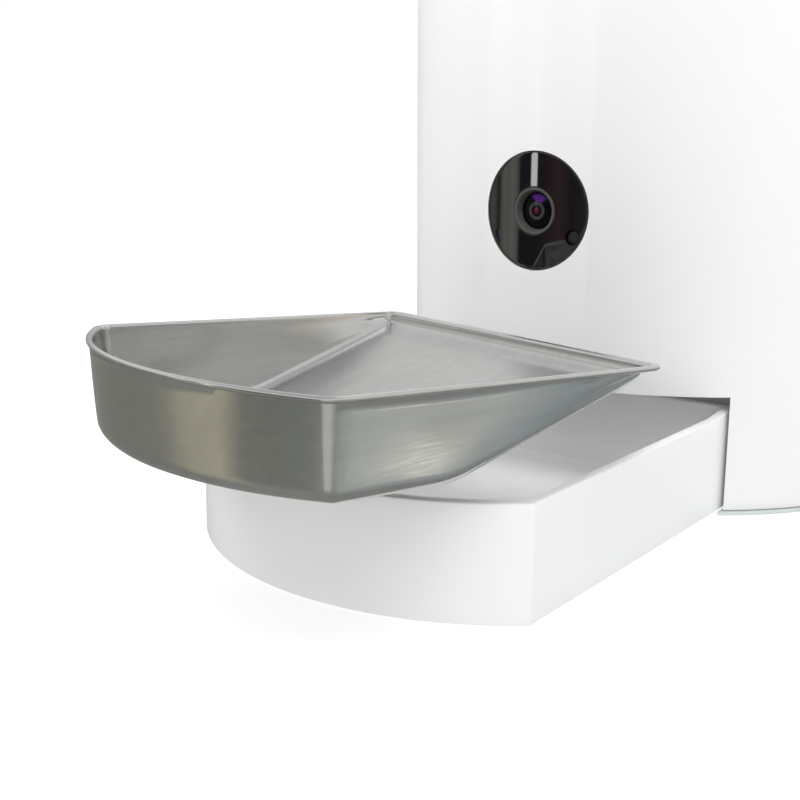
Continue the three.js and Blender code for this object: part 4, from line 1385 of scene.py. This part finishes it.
# ==== lid =====================================================================================
def lid_top():
    """The lid: a short skirt, a tight shoulder and a shallow dome with a well for the latch."""
    lo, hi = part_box("lid_top")
    r, z = hi.x, lo.z
    outside = [(r - WALL, z), (r, z, 0.35 * MM), (r, z + 17 * MM, 5.5 * MM),
               (62 * MM, z + 20.2 * MM, 60 * MM), (30 * MM, z + 21.6 * MM, 40 * MM), (0, hi.z)]
    inside = [(0, hi.z - 2.4 * MM), (30 * MM, z + 19.2 * MM, 40 * MM),
              (60 * MM, z + 18 * MM, 40 * MM), (r - WALL, z + 14.6 * MM, 4 * MM), (r - WALL, z)]
    made = to_object("lid_top_finished",
                     turned(soften(outside, 0, 10) + soften(inside, 0, 10), SHELL_STEPS), WHITE)
    latch_lo, latch_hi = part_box("lid_latch")
    gap = 0.3 * MM
    well = rounded(latch_lo.x - gap, latch_lo.y - gap, latch_hi.x + gap, latch_hi.y + gap,
                   3 * MM, 6)
    carve(made, tool("latch_well", prism(well, z + 5 * MM, z + 40 * MM)))
    round_edges(made, 0.4 * MM, 3, 40, lambda p: abs(p.x) < 0.017 and -0.07 < p.y < -0.05
                and p.z > z + 19 * MM)
    finish_piece(made, "lid_top", angle=30)


def lid_latch():
    """The push latch: a rounded key with three grip ribs on a stem."""
    lo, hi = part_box("lid_latch")
    outline = rounded(lo.x, lo.y, hi.x, hi.y, 2.7 * MM, 6)
    key = to_object("lid_latch_finished", prism(outline, hi.z - 5.6 * MM, hi.z - 0.4 * MM), WHITE)
    round_edges(key, 0.5 * MM, 4, 60)
    finish_piece(key, "lid_latch")
    middle = (lo + hi) / 2
    bar = rounded(-9 * MM, -0.5 * MM, 9 * MM, 0.5 * MM, 0.5 * MM)
    rib = tool("rib", prism(bar, -0.6 * MM, 0.4 * MM))
    round_edges(rib, 0.25 * MM, 3, 60)
    spots = [(middle.x, middle.y + k * 3 * MM, hi.z - 0.4 * MM) for k in (-1, 0, 1)]
    finish_piece(copies("latch_ribs", rib, spots, WHITE), "lid_latch")
    stem = to_object("latch_stem", box_mesh((-5 * MM, middle.y - 2 * MM, lo.z),
                                            (5 * MM, middle.y + 2 * MM, hi.z - 5 * MM)), WHITE)
    round_edges(stem, 0.3 * MM, 2, 60)
    finish_piece(stem, "lid_latch")


def lid_seal():
    """A silicone lip seal with two fins."""
    lo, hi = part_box("lid_seal")
    r, z = hi.x, lo.z
    tall = hi.z - z
    corners = [(r - 2.2 * MM, z), (r - 1 * MM, z), (r - 0.9 * MM, z + 0.25 * tall),
               (r, z + 0.32 * tall), (r, z + 0.42 * tall), (r - 0.9 * MM, z + 0.52 * tall),
               (r - 0.9 * MM, z + 0.6 * tall), (r, z + 0.68 * tall), (r, z + 0.78 * tall),
               (r - 0.9 * MM, z + 0.88 * tall), (r - 1 * MM, hi.z), (r - 2.2 * MM, hi.z)]
    profile = soften(corners, 0.3 * MM, 3, closed=True)
    piece("lid_seal", turned(profile + profile[:1], 160), SILICONE, angle=50)


def desiccant_pack():
    """A sachet of beads: plump in the middle, with a flat crimped edge."""
    lo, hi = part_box("desiccant_pack")
    size, middle = hi - lo, (lo + hi) / 2
    bm = bmesh.new()
    steps = 24
    grid = {}
    for side in (1, -1):
        for i in range(steps + 1):
            for j in range(steps + 1):
                u, v = 2 * i / steps - 1, 2 * j / steps - 1
                edge = i in (0, steps) or j in (0, steps)
                plump = (1 - abs(u) ** 2.6) * (1 - abs(v) ** 2.6)
                lumps = 1 + 0.06 * math.sin(19 * u) * math.sin(17 * v)
                rise = 0.0 if edge else side * (0.3 * MM + (size.z / 2 - 0.9 * MM)
                                                * plump ** 0.5 * lumps)
                key = (i, j, 0 if edge else side)
                if key not in grid:
                    grid[key] = bm.verts.new((middle.x + u * size.x / 2,
                                              middle.y + v * size.y / 2, middle.z + rise))
        for i in range(steps):
            for j in range(steps):
                corners = []
                for a, b in ((i, j), (i + 1, j), (i + 1, j + 1), (i, j + 1)):
                    edge = a in (0, steps) or b in (0, steps)
                    corners.append(grid[(a, b, 0 if edge else side)])
                bm.faces.new(corners)
    piece("desiccant_pack", bm, SACHET, angle=60)


# ==== everything ==============================================================================
def build():
    for make in (tower_shell, base_plate, feet, base_screws, food_tray, steel_bowl, camera_window,
                 lens, microphone, feed_button, status_light, battery_door, power_inlet,
                 reset_button, hopper, food_wheel, motor, speaker, cells, boards, lid_top,
                 lid_latch, lid_seal, desiccant_pack):
        make()
    for finish, nodes in REFINED.items():
        for node, width in nodes.items():
            refine(node, width * MM, finish)


REFINED = {
    INNER: {"tray_bay": 0.3, "food_chute": 0.3, "wheel_drum": 0.3, "motor_bracket": 0.3,
            "battery_box": 0.3, "lid_liner": 0.3, "desiccant_cup": 0.3, "desiccant_cover": 0.2},
    NYLON: {"shaft_bush": 0.2, "drive_gear": 0.12, "motor_pinion": 0.12, "stirrer": 0.4},
    ZINC: {"drive_shaft": 0.2, "motor_shaft": 0.2, "contact_strip_low": 0.15},
    BOARD: {"camera_board": 0.2},
}

make_camera()
make_floor()
make_world()
make_lights()
build()
